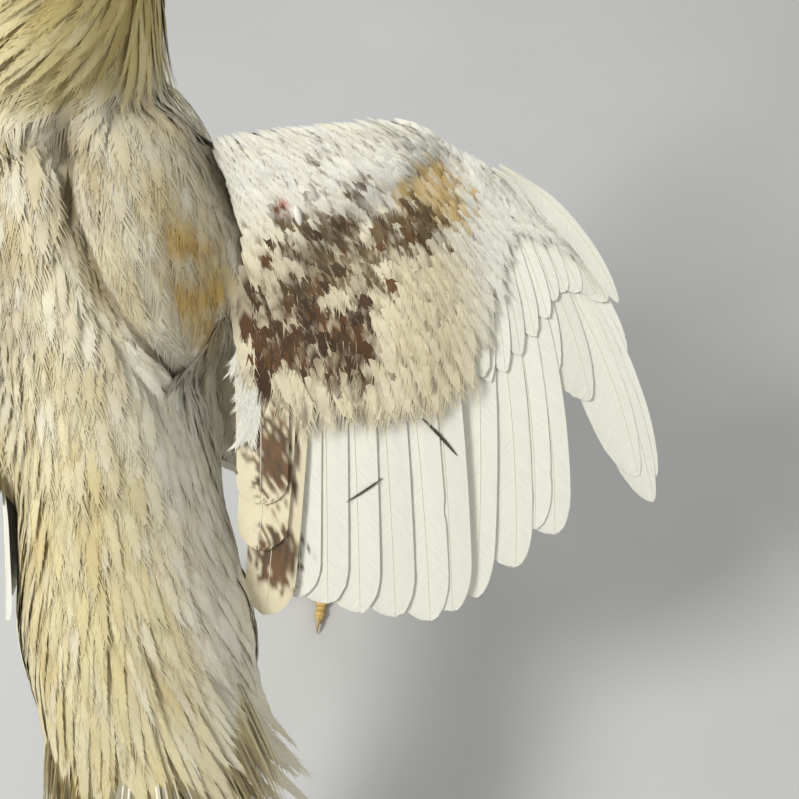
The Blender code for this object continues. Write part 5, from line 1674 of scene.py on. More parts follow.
def arched_feather(root, yaw, pitch, roll, length, width, droop, shape, seed, rows=30, columns=11):
    """Points of one tail feather that leaves its root backwards and droops, rolled about its shaft."""
    chance = np.random.default_rng(seed)
    t = np.linspace(0, 1, rows)
    dip = np.radians(pitch - droop * t)
    turn = math.radians(yaw)
    heading = np.stack((math.sin(turn) * np.cos(dip), -math.cos(turn) * np.cos(dip), np.sin(dip)), -1)
    steps = heading * (length / (rows - 1))
    centre = root + np.concatenate((np.zeros((1, 3)), np.cumsum(steps[:-1], axis=0)))
    level = unit(np.cross(heading, UP))
    normal = unit(np.cross(level, heading))
    lean = math.radians(roll)
    side = level * math.cos(lean) + normal * math.sin(lean)
    face = np.cross(side, heading)
    u = np.linspace(-1, 1, columns)
    half = width / 2 * outline(t, *shape)
    reach = half[:, None] * u
    sweep = 0.34 * np.abs(reach) * smooth(0, 0.5, t)[:, None] + chance.normal(0, 0.0005, reach.shape) * u**2
    cup = 0.10 * np.abs(reach) + chance.normal(0, 0.0001, reach.shape) * np.abs(u)
    points = (
        centre[:, None] + side[:, None] * reach[..., None] + heading[:, None] * sweep[..., None]
        - face[:, None] * cup[..., None]
    )
    vane = barb_places(reach, t, length, seed)
    return points, vane, t, u, centre + face * 0.0003, length


def make_tail(material, shaft_material):
    """The tail: a fan of stiff feathers, and drooping sickles and hangers over it."""
    fan, sickles = [], []
    for side in (1, -1):
        for i in range(7):
            root = TAIL_BASE + TAIL_BACK * 0.050 + RIGHT * (side * (0.003 + 0.0012 * i))
            root = root + UP * (0.005 - 0.0021 * i)
            fan.append(
                arched_feather(
                    root, side * (2 + 3.6 * i), TAIL_PITCH - 1 - 1.4 * i, -side * (12 + 10 * i),
                    0.150 - 0.0035 * i, 0.034, 16, ROUND_TIP, 900 + 10 * i + (side > 0),
                )
            )
        root = TAIL_BASE + TAIL_BACK * 0.048 + RIGHT * (side * 0.006) + UP * 0.0060
        sickles.append(
            arched_feather(
                root, side * 5, -12, -side * 62, 0.225, 0.022, 50, SHARP_TIP, 980 + (side > 0), rows=40,
            )
        )
        for i in range(6):
            place = TAIL_BACK * (0.044 - 0.004 * i) + RIGHT * (side * (0.008 + 0.0022 * i))
            place = place + UP * (0.0070 - 0.0023 * i)
            sickles.append(
                arched_feather(
                    TAIL_BASE + place, side * (7 + 4 * i), -16 - 3 * i, -side * (58 + 4 * i),
                    0.165 - 0.012 * i, 0.017, 44, SHARP_TIP, 1000 + 10 * i + (side > 0), columns=9,
                )
            )
    flight_piece(
        "tail_fan", fan, flight_tint(FLIGHT_WHITE * 0.97, seed=900), material, shaft_material, ("tail",),
    )
    flight_piece(
        "tail_sickles", sickles, flight_tint(PALE_CREAM, 0.35, 980), material, shaft_material, shaft=0.0009,
    )


def make_tail_coverts(material):
    """Long soft pointed feathers that cover the roots of the tail."""
    chance = np.random.default_rng(1100)
    count = 720
    ring = np.radians(chance.uniform(-96, 96, count))
    start = chance.uniform(-0.016, 0.036, count)
    length = chance.uniform(0.060, 0.100, count) * (0.72 + 0.28 * np.abs(np.sin(ring)))
    width = chance.uniform(0.0018, 0.0031, count)
    above = np.cross(RIGHT, TAIL_BACK)
    slim = 1 - 8.0 * start
    outward = np.sin(ring)[:, None] * RIGHT + np.cos(ring)[:, None] * above
    roots = (
        TAIL_BASE + start[:, None] * TAIL_BACK
        + (0.034 * slim * np.sin(ring))[:, None] * RIGHT + (0.024 * slim * np.cos(ring))[:, None] * above
    )
    aside = np.sin(ring)[:, None] ** 2
    path = [roots]
    for k in range(PATH_STEPS):
        away = outward * (0.22 + 0.03 * aside) * (1 - 0.17 * k)
        lean = np.where(ring > 0, 0.26, 0.12) * np.sin(ring)
        way = unit(TAIL_BACK + away - UP * (0.055 * k) + RIGHT * lean[:, None])
        path.append(path[-1] + way * (length / PATH_STEPS)[:, None])
    centres = np.stack(path, 1)
    heading = unit(np.gradient(centres, axis=1))
    normals = square_to(outward[:, None], heading)
    sides = np.cross(heading, normals)
    vanes = feather_vanes(
        centres, sides, normals, width, 0.85, 1102, loose=0.34, closed=0.62, splay=18.0, reach_out=2.0
    )
    colour = mix(
        np.broadcast_to(SADDLE_CREAM, centres.shape), WHITE,
        smooth(0.0, 0.8, chance.random((count, 1))) * 0.6,
    )
    colour = mix(colour, STRAW, smooth(0.75, 1.0, chance.random((count, 1))) * 0.5)
    chart = np.stack((0.02 + 0.95 * (ring / math.radians(200) + 0.5), 0.05 + 17 * (start + 0.016)), -1)
    coat_piece(
        "tail_coverts", vanes, length, width, feather_tint(colour, vanes, chance), chart, material, 1103,
    )


# Head

# Brow, upper lid, ear lobe, ear and cheek on each side, in the head's frame: middle, half sizes.
FACE_LUMPS = (
    ((EYE_PLACE[0] + 0.002, 0.0128, EYE_PLACE[2] + 0.0062), (0.0092, 0.0040, 0.0024)),
    ((EYE_PLACE[0] - 0.003, 0.0110, EYE_PLACE[2] + 0.0072), (0.0110, 0.0046, 0.0034)),
    ((-0.0095, 0.0150, -0.0095), (0.0036, 0.0028, 0.0056)),
    ((-0.0095, 0.0155, -0.0015), (0.0044, 0.0020, 0.0036)),
    ((0.0135, 0.0105, -0.0105), (0.0050, 0.0028, 0.0060)),
)


def ball_mesh(centre, ahead, across, above, segments=20, rings=12):
    """A stretched sphere in the head's frame, as a mesh."""
    shape = bmesh.new()
    bmesh.ops.create_uvsphere(shape, u_segments=segments, v_segments=rings, radius=1.0)
    axes = head_axes()
    for vertex in shape.verts:
        local = np.array(vertex.co) * (ahead, across, above)
        vertex.co = centre + local @ axes
    shape.normal_update()
    bmesh.ops.recalc_face_normals(shape, faces=shape.faces)
    mesh = bpy.data.meshes.new("ball")
    shape.to_mesh(mesh)
    shape.free()
    return mesh


def lid_rings(side):
    """The fleshy rim round one eye, as rings of a closed loop."""
    ahead, across, above = EYE_PLACE
    turn = circle(40)
    roll = circle(10)
    radius = EYE_RADIUS * 0.90 + 0.0015 * np.cos(roll)
    out = across + 0.0031 + 0.0015 * np.sin(roll)
    a = ahead + 1.08 * radius[None] * np.cos(turn)[:, None]
    b = above + 0.80 * radius[None] * np.sin(turn)[:, None]
    return head_place(a, np.broadcast_to(side * out, a.shape), b)


def ring_mesh(rings):
    """A mesh whose rings close into a loop."""
    count, segments = rings.shape[:2]
    wrapped = np.concatenate((rings, rings[:1]))
    faces = grid_faces(count + 1, segments, closed=True) % (count * segments)
    mesh = bpy.data.meshes.new("loop")
    mesh.from_pydata(wrapped[:-1].reshape(-1, 3).tolist(), [], faces.tolist())
    return mesh


def skull_rings():
    """Rings of the head's own form."""
    ahead = np.linspace(HEAD[0][0], HEAD[-1][0], 30)
    middle, width, rise, drop = HEAD_FORM(ahead)
    axes = head_axes()
    centres = head_place(ahead, np.zeros(30), middle)
    ones = np.ones((30, 1))
    return tube_points(centres, ones * axes[1], ones * axes[2], width, rise, drop, 36)


def skin_folds(local):
    """Height of the face's folds and fine bumps: rings round the eyes, creases on the cheeks and throat."""
    ahead, across, above = local[:, 0], np.abs(local[:, 1]), local[:, 2]
    bent = local + 0.0006 * np.stack([ripple(local, 0.006, 25 + k) for k in range(3)], -1)
    from_eye = np.hypot(bent[:, 0] - EYE_PLACE[0], (bent[:, 2] - EYE_PLACE[2]) * 1.15)
    beside = smooth(0.008, 0.012, across)
    rings = (
        np.sin(from_eye * 2 * math.pi / 0.0017) * smooth(0.0052, 0.0066, from_eye)
        * smooth(0.0125, 0.0085, from_eye)
    )
    creases = np.sin((bent[:, 2] + 0.45 * bent[:, 0]) * 2 * math.pi / 0.0024) * smooth(-0.004, -0.010, above)
    throat = np.sin((bent[:, 1] + 0.3 * bent[:, 0]) * 2 * math.pi / 0.0021) * smooth(-0.012, -0.017, above)
    front = smooth(0.0215, 0.0185, ahead)
    folds = beside * (0.00022 * rings + 0.00016 * creases) + 0.00014 * throat
    bumps = (
        ripple(local, 0.0030, 21) * 0.00022 + ripple(local, 0.0012, 22) * 0.00012
        + ripple(local, 0.0007, 24) * 0.00007
    )
    return (folds + bumps) * front


def make_head():
    """The bare face with brows, lids, lobes and dewlap, and the eyes in it."""
    meshes = [loft_mesh(skull_rings())]
    for side in (1, -1):
        meshes.append(ring_mesh(lid_rings(side)))
        for (ahead, across, above), sizes in FACE_LUMPS:
            meshes.append(ball_mesh(head_place(ahead, side * across, above), *sizes))
    meshes.append(ball_mesh(head_place(0.004, 0, -0.0185), 0.0160, 0.0040, 0.0058))
    mesh = merged_mesh(meshes, FACE_VOXEL, 5)
    points = mesh_points(mesh)
    normals = mesh_normals(mesh)
    local = head_local(points)
    folds = skin_folds(local)
    points = points + normals * folds[:, None]
    # Darker in the creases and lighter on the raised folds and bumps: painted shade and painted highlight.
    colour = mix(FACE_RED, FACE_RED * 0.45, smooth(0.00005, -0.00035, folds) * 0.8)
    colour = mix(colour, tone(206, 84, 66), smooth(0.00010, 0.00040, folds) * 0.45)
    colour = mix(colour, FACE_RED * 0.72, smooth(0.0, 0.8, ripple(points, 0.006, 23)) * 0.4)
    beside = np.sign(local[:, 1]) * 0.0150
    from_lobe = local - np.array((-0.0095, 0, -0.0095)) - np.stack((0 * beside, beside, 0 * beside), -1)
    lobe = smooth(0.0085, 0.0045, np.linalg.norm(from_lobe, axis=1))
    colour = mix(colour, tone(206, 96, 80), lobe * 0.6)
    faces = mesh_faces(mesh)
    material = tinted_material("face", roughness=0.58, relief=0.60, scale=1500.0, spread=0.12, coat=0.03)
    head = add_piece("head_skin", points, faces, material, colour, replaces=("head",))
    bpy.data.meshes.remove(mesh)
    for side in (1, -1):
        carve_socket(head, side)
        make_eye(side)


def carve_socket(head, side):
    """Cuts the hollow that one eye sits in, and colours its walls dark as painted shade."""
    centre = eye_centre(side)
    ball = ball_mesh(centre, EYE_RADIUS + 0.0002, EYE_RADIUS + 0.0002, EYE_RADIUS + 0.0002, 48, 32)
    ball.transform(Matrix.Translation(Vector(PLACE)))
    cutter = scene_object("cutter", ball)
    cut = head.modifiers.new("Socket", "BOOLEAN")
    cut.operation = "DIFFERENCE"
    cut.solver = "EXACT"
    cut.object = cutter
    graph = bpy.context.evaluated_depsgraph_get()
    carved = bpy.data.meshes.new_from_object(head.evaluated_get(graph))
    head.modifiers.clear()
    head.data = carved
    inside = np.linalg.norm(mesh_points(carved) - PLACE - centre, axis=1) < EYE_RADIUS + 0.0005
    layer = carved.color_attributes["Tint"]
    colours = np.empty(len(layer.data) * 4, np.float32)
    layer.data.foreach_get("color", colours)
    colours = colours.reshape(-1, 4)
    # Painted shade on the walls of the hollow round the eye.
    colours[inside] = (*tone(96, 22, 20), 1.0)
    layer.data.foreach_set("color", colours.ravel())
    bpy.data.objects.remove(cutter)
    bpy.data.meshes.remove(ball)


def make_eye(side):
    """One pearl-coloured eye with its pupil under a wet surface."""
    word = SIDE_WORDS[side]
    shape = bmesh.new()
    bmesh.ops.create_uvsphere(shape, u_segments=64, v_segments=72, radius=EYE_RADIUS)
    gaze = unit(np.array((0.28, side * 1.0, 0.02)))
    shape.transform(Vector(gaze).to_track_quat("Z", "Y").to_matrix().to_4x4())
    local = np.array([vertex.co[:] for vertex in shape.verts])
    faces = [tuple(vertex.index for vertex in face.verts) for face in shape.faces]
    shape.free()
    angle = np.degrees(np.arccos(np.clip(unit(local) @ gaze, -1, 1)))
    streak = ripple(unit(local), 0.10, 31) * 0.5 + 0.5
    colour = mix(tone(214, 196, 150), tone(168, 128, 74), streak * 0.5)
    colour = mix(colour, tone(120, 60, 30), smooth(34, 44, angle) * 0.8)
    colour = mix(tone(6, 5, 5), colour, smooth(16.0, 19.0, angle))
    centre = eye_centre(side)
    material = tinted_material("eye_" + word, roughness=0.06, relief=0.0, scale=900.0, spread=0.05, coat=1.0)
    add_piece(
        "eyeball_" + word, centre + local @ head_axes(), faces, material, colour,
        replaces=("eye_" + word,),
    )


def make_comb():
    """The low pea comb: a middle row of knobs between two lower ones."""
    meshes = []
    rows = ((0.0, 6, 0.0042, 0.0052), (0.0046, 5, 0.0032, 0.0038), (-0.0046, 5, 0.0032, 0.0038))
    for across, count, radius, height in rows:
        for i in range(count):
            share = i / (count - 1)
            ahead = 0.0005 + 0.0225 * share
            middle, _, rise, _ = HEAD_FORM(ahead)
            place = head_place(ahead, across, middle + rise + 0.0004 - abs(across) * 0.16)
            size = 0.85 + 0.3 * math.sin(math.pi * share)
            meshes.append(ball_mesh(place, 0.0031, radius * size * 0.70, height * size * 0.94, 14, 10))
            meshes.append(ball_mesh(place, 0.0044, radius * size * 0.84, height * size * 0.62, 14, 10))
    mesh = merged_mesh(meshes, COMB_VOXEL, 7)
    points = mesh_points(mesh)
    rough = ripple(points, 0.0016, 42) * 0.00014 + ripple(points, 0.0008, 43) * 0.00008
    normals = mesh_normals(mesh)
    points = points + normals * rough[:, None]
    colour = mix(tone(186, 42, 34), tone(136, 24, 22), smooth(0, 0.8, ripple(points, 0.004, 41)))
    # Lighter on the raised bumps: painted highlight.
    colour = mix(colour, tone(208, 80, 64), smooth(0.00004, 0.00020, rough) * 0.4)
    faces = mesh_faces(mesh)
    material = tinted_material("comb_flesh", roughness=0.55, relief=0.5, scale=1800.0, spread=0.12, coat=0.04)
    add_piece("pea_comb", points, faces, material, colour, replaces=("comb",))
    bpy.data.meshes.remove(mesh)


# The beak: ahead places of its root and tips, then heights and widths from root to tip.
BEAK_ROOT = 0.0205
BEAK_TIP = 0.0445
LOWER_TIP = 0.0385
MOUTH = (-0.0058, -0.0060, -0.0064, -0.0072, -0.0085, -0.0102)
RIDGE = (0.0058, 0.0049, 0.0033, 0.0006, -0.0037, -0.0095)
BEAK_WIDTH = (0.0092, 0.0082, 0.0068, 0.0050, 0.0030, 0.0009)
CHIN = (-0.0132, -0.0130, -0.0122, -0.0106)


def curve_through(values, count):
    """Values on a smooth curve through evenly spaced ones."""
    rows = [(float(i), value) for i, value in enumerate(values)]
    return np.array([hermite(rows, key)[0] for key in np.linspace(0, len(values) - 1, count)])


def beak_points(ahead, low, high, width, upper):
    """Rings of one half of the beak: a round side away from the mouth and a flatter one at it."""
    turn = circle(32)
    middle, half = (low + high) / 2, (high - low) / 2
    sine = np.sin(turn)[None]
    full = middle[:, None] + half[:, None] * sine
    base = (low if upper else high)[:, None]
    flat = base + (middle[:, None] - base) * (1 - np.abs(sine)) ** 1.5
    height = np.where((sine < 0) == upper, flat, full)
    across = width[:, None] * np.sign(np.cos(turn)) * np.abs(np.cos(turn)) ** 0.85
    return head_place(np.broadcast_to(ahead[:, None], height.shape), across, height)


def make_beak():
    """The hooked upper beak and the lower one, pale horn with darker growth streaks."""
    material = tinted_material("beak", roughness=0.34, relief=0.25, scale=700.0, spread=0.06, coat=0.25)
    count = 28
    ahead = np.linspace(BEAK_ROOT, BEAK_TIP, count)
    low, high, width = (curve_through(values, count) for values in (MOUTH, RIDGE, BEAK_WIDTH))
    low[-3:] -= np.array((0.0002, 0.0005, 0.0009))
    rings = beak_points(ahead, low, high, width, True)
    points, faces = closed_tube(rings)
    streak = smooth(0.2, 0.9, ripple(points * np.array((1, 0.2, 1)), 0.003, 51))
    ridge = np.repeat(smooth(0.0, 1.0, np.linspace(0, 1, count)), 32)
    colour = mix(tone(214, 190, 126), tone(140, 104, 60), streak * 0.35 + 0.25 * (1 - ridge))
    add_piece("upper_beak", points, faces, material, colour, replaces=("beak_upper",))
    ahead = np.linspace(BEAK_ROOT, LOWER_TIP, 16)
    share = (ahead - BEAK_ROOT) / (BEAK_TIP - BEAK_ROOT) * (count - 1)
    top = np.interp(share, np.arange(count), curve_through(MOUTH, count)) - 0.0005
    chin = curve_through(CHIN, 16)
    slim = np.interp(share, np.arange(count), curve_through(BEAK_WIDTH, count)) * 0.86
    rings = beak_points(ahead, np.minimum(chin, top - 0.0008), top, slim * np.linspace(1, 0.55, 16), False)
    points, faces = closed_tube(rings)
    add_piece(
        "lower_beak", points, faces, material, tone(196, 170, 110), replaces=("beak_lower",),
    )
    for side in (1, -1):
        # A dark lump on each side of the beak: painted shade standing in for the nostril's opening.
        nostril = ball_mesh(head_place(0.0306, side * 0.0066, 0.0004), 0.0020, 0.0007, 0.0006, 24, 12)
        add_piece(
            "nostril_" + SIDE_WORDS[side], mesh_points(nostril), mesh_faces(nostril), material,
            tone(74, 52, 32),
        )


def make_head_feathers(material):
    """Small narrow feathers on the nape, the crown and the upper throat."""
    mesh = merged_mesh([loft_mesh(skull_rings()), loft_mesh(neck_rings(0.0042))], NAPE_VOXEL, 7)
    surface = Surface(mesh)
    bpy.data.meshes.remove(mesh)

    def spacing(points):
        local = head_local(points)
        nape = local[:, 0] < -0.012 + 0.35 * np.abs(local[:, 2] - 0.006)
        crown = (local[:, 2] > 0.010) & (local[:, 0] < 0.0) & (np.abs(local[:, 1]) < 0.013)
        throat = (local[:, 2] < -0.012) & (local[:, 0] < -0.004)
        away = np.linalg.norm(local, axis=1)
        sparse = 0.0015 + 0.0040 * smooth(0.026, 0.042, away)
        return np.where((nape | crown | throat) & (away < 0.042), sparse, 0.0)

    def flow(points):
        local = head_local(points)
        low = smooth(0.004, -0.014, local[:, 2])
        sink = 0.9 * smooth(0.0, -0.02, local[:, 0]) + 0.9 * low
        return unit(np.stack((-1.0 + 0.7 * low, np.zeros(len(local)), -sink), -1) @ head_axes())

    roots = surface.scatter(spacing, 40000, SEED + 60)
    chance = np.random.default_rng(SEED + 61)
    low = smooth(0.0, -0.018, head_local(roots)[:, 2])
    lengths = chance.uniform(0.009, 0.013, len(roots)) * (1 + 0.6 * low)
    widths = chance.uniform(0.0013, 0.0020, len(roots)) * (1 + 0.3 * low)
    centres, sides, normals = drape(surface, roots, flow, lengths, 0.12, SEED + 62)
    rise = -0.0001 + 0.0020 * smooth(0.0, 0.6, np.linspace(0, 1, PATH_STEPS + 1))
    centres = centres + normals * rise[None, :, None]
    vanes = feather_vanes(centres, sides, normals, widths, 0.8, SEED + 63, loose=0.20, closed=0.75)
    colour = np.broadcast_to(HACKLE_GOLD * 0.95, roots.shape)
    tint = feather_tint(colour, vanes, chance, root_shade=0.90)
    local = head_local(roots)
    chart = np.stack((0.5 + local[:, 1] / 0.05, 0.5 + local[:, 0] / 0.08 + local[:, 2] / 0.12), -1)
    chart = np.clip(chart * 0.9 + 0.05, 0.01, 0.98)
    coat_piece("head_feathers", vanes, lengths, widths, tint, chart, material, SEED + 64)


# Legs

# Down the shank: share of its length, half width, half depth.
SHANK_SHARES = (0, 0.06, 0.14, 0.24, 0.55, 0.86, 0.95, 1.0)
SHANK_WIDTHS = (0.0064, 0.0088, 0.0094, 0.0084, 0.0078, 0.0082, 0.0094, 0.0086)
SHANK_DEPTHS = (0.0072, 0.0096, 0.0102, 0.0090, 0.0084, 0.0088, 0.0098, 0.0090)
# Half angles of the arcs that bear big scutes: before and behind the shank, and over a toe.
FRONT_ARC, REAR_ARC, TOE_ARC = 62, 50, 68


def shank_line(height, side):
    """The middle of the shank at a height."""
    t = (SHANK_TOP + 0.008 - height) / SHANK_TOP
    return np.stack((side * (0.067 + 0.001 * t), -0.084 + 0.018 * t, height), -1)


def from_front(segments):
    """Degrees from the front of a limb, or from the top of a toe, for the points of its rings."""
    angle = np.degrees(circle(segments))[None] - 90
    return (angle + 180) % 360 - 180


def share_of_arc(angle, half):
    """Shares across an arc of a limb, from one edge of it to the other."""
    return np.clip((angle + half) / (2 * half), 0, 0.999)


def tile_relief(turn, along, columns, pitch, stagger=0.5):
    """Raised tiles in columns round a limb: 0 in the grooves, 1 on the tiles, higher at their lower edge."""
    column = np.floor(turn * columns)
    in_column = turn * columns - column
    row = along / pitch + stagger * (column % 2)
    in_row = row - np.floor(row)
    across_groove = smooth(0.0, 0.10, np.minimum(in_row, 1 - in_row))
    along_groove = smooth(0.0, 0.08, np.minimum(in_column, 1 - in_column))
    return np.minimum(across_groove, along_groove) * (0.55 + 0.45 * in_row)


def make_shank(side, material):
    """The bare shank: two rows of big front scutes, two behind, and small scales between."""
    word = SIDE_WORDS[side]
    rows, segments = 230, 72
    height = np.linspace(SHANK_TOP + 0.018, 0.012, rows)
    centres = shank_line(height, side)
    span = (SHANK_TOP + 0.018 - height) / (SHANK_TOP + 0.006)
    width = np.interp(span, SHANK_SHARES, SHANK_WIDTHS)
    front = np.interp(span, SHANK_SHARES, SHANK_DEPTHS)
    _, across, up = frames_along(centres, -RIGHT)
    angle = from_front(segments)
    drop = (height[0] - height)[:, None]
    front_tiles = tile_relief(share_of_arc(angle, FRONT_ARC), drop, 2, 0.0088)
    rear = np.where(angle > 0, angle - 180, angle + 180)
    rear_tiles = tile_relief(share_of_arc(rear, REAR_ARC), drop, 2, 0.0072)
    small = tile_relief((np.abs(angle) % 60) / 60, drop, 4, 0.0030)
    is_front = np.abs(angle) < FRONT_ARC
    is_rear = np.abs(rear) < REAR_ARC
    relief = np.where(is_front, front_tiles, np.where(is_rear, rear_tiles, small * 0.55))
    relief = relief * smooth(0.0, 0.05, span)[:, None]
    rings = tube_points(centres, across, up, width, front, front, segments)
    middle = centres[:, None]
    rings = middle + (rings - middle) * (1 + 0.085 * relief[..., None] - 0.02)
    points, faces = closed_tube(rings)
    flat = relief.reshape(-1)
    colour = mix(tone(150, 118, 60), tone(222, 190, 112), smooth(0.1, 0.7, flat))
    colour = mix(colour, tone(196, 120, 84), np.repeat(smooth(0.55, 0.0, span), segments) * 0.25)
    replaces = ("shank_" + word,)
    add_piece("scaly_shank_" + word, points, faces, material, colour, replaces=replaces)


# Toes: name, degrees from straight ahead, length, radius.
TOES = (
    ("middle", 0.0, 0.078, 0.0062),
    ("inner", 33.0, 0.060, 0.0056),
    ("outer", -35.0, 0.060, 0.0056),
    ("rear", 168.0, 0.034, 0.0048),
)


def toe_heading(side, turn):
    """The way a toe points, with outward turns negative."""
    return np.array((side * -math.sin(math.radians(turn)), math.cos(math.radians(turn)), 0.0))


def make_foot(side, material):
    """Four toes with scutes on top and pads below, on one sole."""
    word = SIDE_WORDS[side]
    all_points, all_faces, all_colours = [], [], []
    offset = 0
    for _, turn, length, radius in TOES:
        heading = toe_heading(side, turn)
        rows, segments = max(int(length / 0.0006), 40), 40
        t = np.linspace(0, 1, rows)
        pad = 1.0 + 0.13 * np.cos(2 * math.pi * (3 * t - 0.5))
        thick = radius * pad * np.interp(t, (0, 0.25, 0.5, 0.75, 1), (1.25, 1.1, 1.0, 0.9, 0.70))
        thick = thick * np.sqrt(np.clip((1.002 - t) / 0.05, 0.02, 1))
        centres = np.array((side * FOOT_SPREAD, FOOT_FORWARD, 0.0)) + heading * (length * t)[:, None]
        centres[:, 2] = thick * 0.9
        across = np.broadcast_to(np.cross(heading, UP), centres.shape)
        up = np.broadcast_to(UP, centres.shape)
        rings = tube_points(centres, across, up, thick, thick, thick, segments)
        around = from_front(segments)
        top = np.abs(around) < TOE_ARC
        tiles = tile_relief(share_of_arc(around, TOE_ARC), (length * t)[:, None], 1, 0.0042)
        small = tile_relief((np.abs(around) % 45) / 45, (length * t)[:, None], 3, 0.0022) * 0.4
        relief = np.where(top, tiles, small)
        rings = centres[:, None] + (rings - centres[:, None]) * (0.97 + 0.10 * relief[..., None])
        rings[..., 2] = np.maximum(rings[..., 2], 0.0)
        points, faces = closed_tube(rings)
        all_points.append(points)
        all_faces += [[index + offset for index in face] for face in faces]
        offset += len(points)
        all_colours.append(
            mix(tone(146, 114, 60), tone(218, 186, 110), smooth(0.1, 0.7, relief.reshape(-1)))
        )
    height = np.array((0.0, 0.003, 0.006, 0.010, 0.014, 0.0185))
    size = np.array((0.84, 0.97, 1.0, 0.98, 0.90, 0.72))
    centres = np.stack((np.full(6, side * FOOT_SPREAD), np.full(6, FOOT_FORWARD), height), -1)
    ones = np.ones((6, 1))
    rings = tube_points(
        centres, ones * RIGHT, ones * np.array((0, 1, 0)), 0.0105 * size, 0.0115 * size, 0.0105 * size, 32,
    )
    points, faces = closed_tube(rings)
    all_points.append(points)
    all_faces += [[index + offset for index in face] for face in faces]
    all_colours.append(np.broadcast_to(tone(190, 158, 90), points.shape))
    add_piece(
        "scaly_foot_" + word, np.concatenate(all_points), all_faces, material,
        np.concatenate(all_colours), replaces=("foot_" + word,),
    )


def horn_piece(name, centres, side, sizes, material, replaces):
    """A tapered horn, pale at its root and darker at its tip."""
    _, across, up = frames_along(centres, side)
    rings = tube_points(centres, across, up, sizes * 0.78, sizes, sizes * 0.85, 20)
    points, faces = closed_tube(rings)
    along = np.repeat(np.linspace(0, 1, len(centres)), 20)
    colour = mix(tone(212, 186, 132), tone(120, 92, 60), along * 0.7)
    add_piece(name, points, faces, material, colour, replaces=replaces)


def make_claws(side, material):
    """A curved claw on each toe, clear of the floor, and the spur on the shank."""
    word = SIDE_WORDS[side]
    t = np.linspace(0, 1, 14)
    for toe, turn, length, radius in TOES:
        heading = toe_heading(side, turn)
        root = np.array((side * FOOT_SPREAD, FOOT_FORWARD, 0.0)) + heading * (length - 0.0035)
        reach = 0.0165 if toe != "rear" else 0.0135
        sizes = radius * np.interp(t, (0, 0.33, 0.66, 1), (0.50, 0.49, 0.34, 0.05))
        centres = root + heading * (reach * t)[:, None]
        centres[:, 2] = 0.0052 + 0.0012 * np.sin(math.pi * t) - 0.0036 * t**2
        horn_piece(
            f"talon_{word}_{toe}", centres, np.cross(heading, UP), sizes, material, (f"claw_{word}_{toe}",),
        )
    root = shank_line(np.array(0.052), side)
    heading = unit(np.array((side * -0.55, -0.80, 0.05)))
    sizes = np.interp(t, (0, 0.25, 0.5, 0.75, 1), (0.0048, 0.0040, 0.0030, 0.0018, 0.0004))
    centres = root + heading * (0.003 + 0.024 * t)[:, None] + UP * (0.006 * t**2)[:, None]
    horn_piece("leg_spur_" + word, centres, np.cross(heading, UP), sizes, material, ("spur_" + word,))


# The stage

# The camera: the place it aims at, as (across, along), its distance, roll and lens.
WING_VIEW = (0.1532, -0.1495)
CAMERA_DISTANCE = 0.438
CAMERA_ROLL = math.radians(7)
LENS = 38.0
# Lights: name, place from the middle of the bird, size, power.
LIGHTS = (
    ("key", (-1.1, -0.35, 1.35), 0.55, 27),
    ("fill", (1.3, -0.9, 0.9), 1.4, 6),
    ("front", (0.2, 1.6, 0.8), 1.4, 8),
)


def make_camera():
    """The photograph's view: from behind and above, square to the back, with the head out of the frame."""
    aim = body(WING_VIEW[0], WING_VIEW[1], 0.0) + PLACE
    right = math.cos(CAMERA_ROLL) * RIGHT - math.sin(CAMERA_ROLL) * FORWARD
    up = math.sin(CAMERA_ROLL) * RIGHT + math.cos(CAMERA_ROLL) * FORWARD
    data = bpy.data.cameras.new("camera")
    data.lens = LENS
    data.sensor_width = 36.0
    camera = scene_object("camera", data)
    turn = Matrix((right, up, DORSAL)).transposed().to_4x4()
    camera.matrix_world = Matrix.Translation(Vector(aim + DORSAL * CAMERA_DISTANCE)) @ turn
    bpy.context.scene.camera = camera


def add_light(name, place, aim, size, power):
    """A square soft light."""
    data = bpy.data.lights.new(name, "AREA")
    data.size = size
    data.energy = power
    light = scene_object(name, data)
    light.location = place
    light.rotation_euler = (Vector(aim) - Vector(place)).to_track_quat("-Z", "Y").to_euler()


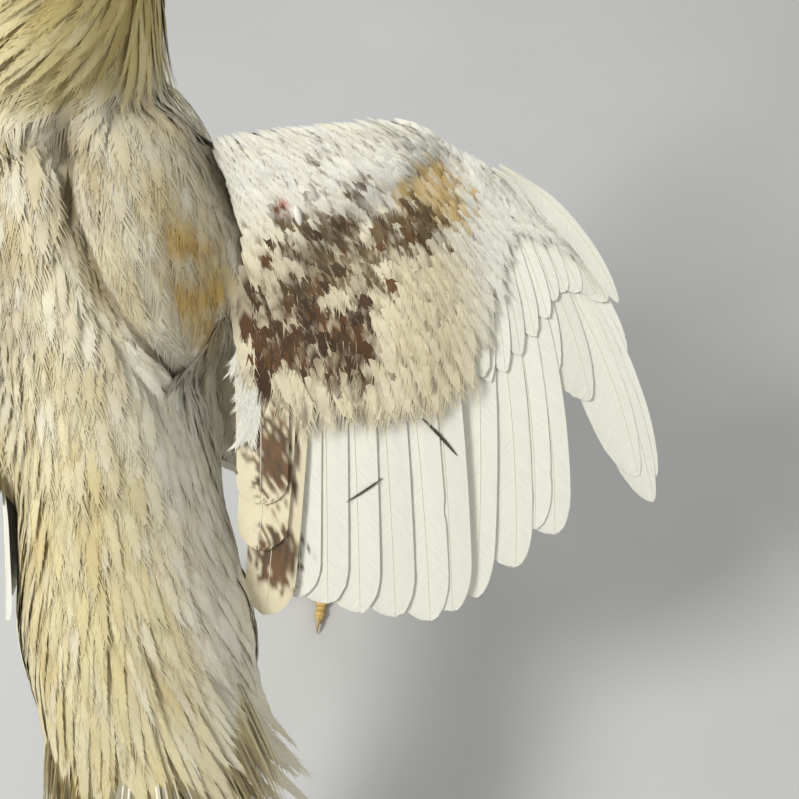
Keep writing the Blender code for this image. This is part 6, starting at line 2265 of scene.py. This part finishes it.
def make_stage():
    """A pale floor and soft studio light, with the key from the left, high behind the bird."""
    floor = bpy.data.meshes.new("floor")
    floor.from_pydata([(-4, -4, 0), (4, -4, 0), (4, 4, 0), (-4, 4, 0)], [], [(0, 1, 2, 3)])
    material, shader, add, link = new_material("floor")
    place = add("ShaderNodeTexCoord")
    grain = add("ShaderNodeTexNoise", Vector=place.outputs["Object"], Scale=3.0, Detail=4.0)
    shade = add(
        "ShaderNodeMapRange", Value=grain.outputs[0], From_Min=0.3, From_Max=0.7, To_Min=0.56, To_Max=0.60,
    )
    colour = add(
        "ShaderNodeCombineXYZ", i0=shade.outputs[0], i1=shade.outputs[0],
        i2=math_node(add, "MULTIPLY", shade.outputs[0], 0.96),
    )
    link.new(colour.outputs[0], shader.inputs["Base Color"])
    shader.inputs["Roughness"].default_value = 0.8
    floor.materials.append(material)
    plane = scene_object("floor", floor)
    middle = body(0.06, -0.12, 0.0) + PLACE
    for name, offset, size, power in LIGHTS:
        add_light(name, middle + np.array(offset), middle, size, power)
    world = bpy.data.worlds.new("studio")
    world.use_nodes = True
    world.node_tree.nodes["Background"].inputs[0].default_value = (0.95, 0.97, 1.0, 1)
    world.node_tree.nodes["Background"].inputs[1].default_value = 0.36
    bpy.context.scene.world = world
    bpy.context.scene.view_settings.view_transform = "Standard"


def main():
    feather = feather_material("feather")
    flight = feather_material("flight_vane", fibre=1.9, relief=0.20, roughness=0.55, slant=1.0, streak=0.05)
    shaft = tinted_material("shaft", roughness=0.4, relief=0.1, scale=400.0, spread=0.05)
    scales = tinted_material("scales", roughness=0.5, relief=0.25, scale=1300.0, spread=0.08, coat=0.05)
    horn = tinted_material("horn", roughness=0.36, relief=0.2, scale=700.0, spread=0.07, coat=0.2)
    surface = make_skin()
    make_body_coat(surface, feather)
    make_wing_coverts(feather)
    make_wing_down(feather)
    make_pin_feather(shaft)
    make_wing_flights(flight, shaft)
    make_dark_barbs(shaft)
    make_folded_wing(flight, shaft)
    make_tail(flight, shaft)
    make_tail_coverts(feather)
    make_head()
    make_comb()
    make_beak()
    make_head_feathers(feather)
    for side in (1, -1):
        make_shank(side, scales)
        make_foot(side, scales)
        make_claws(side, horn)
    make_camera()
    make_stage()


main()
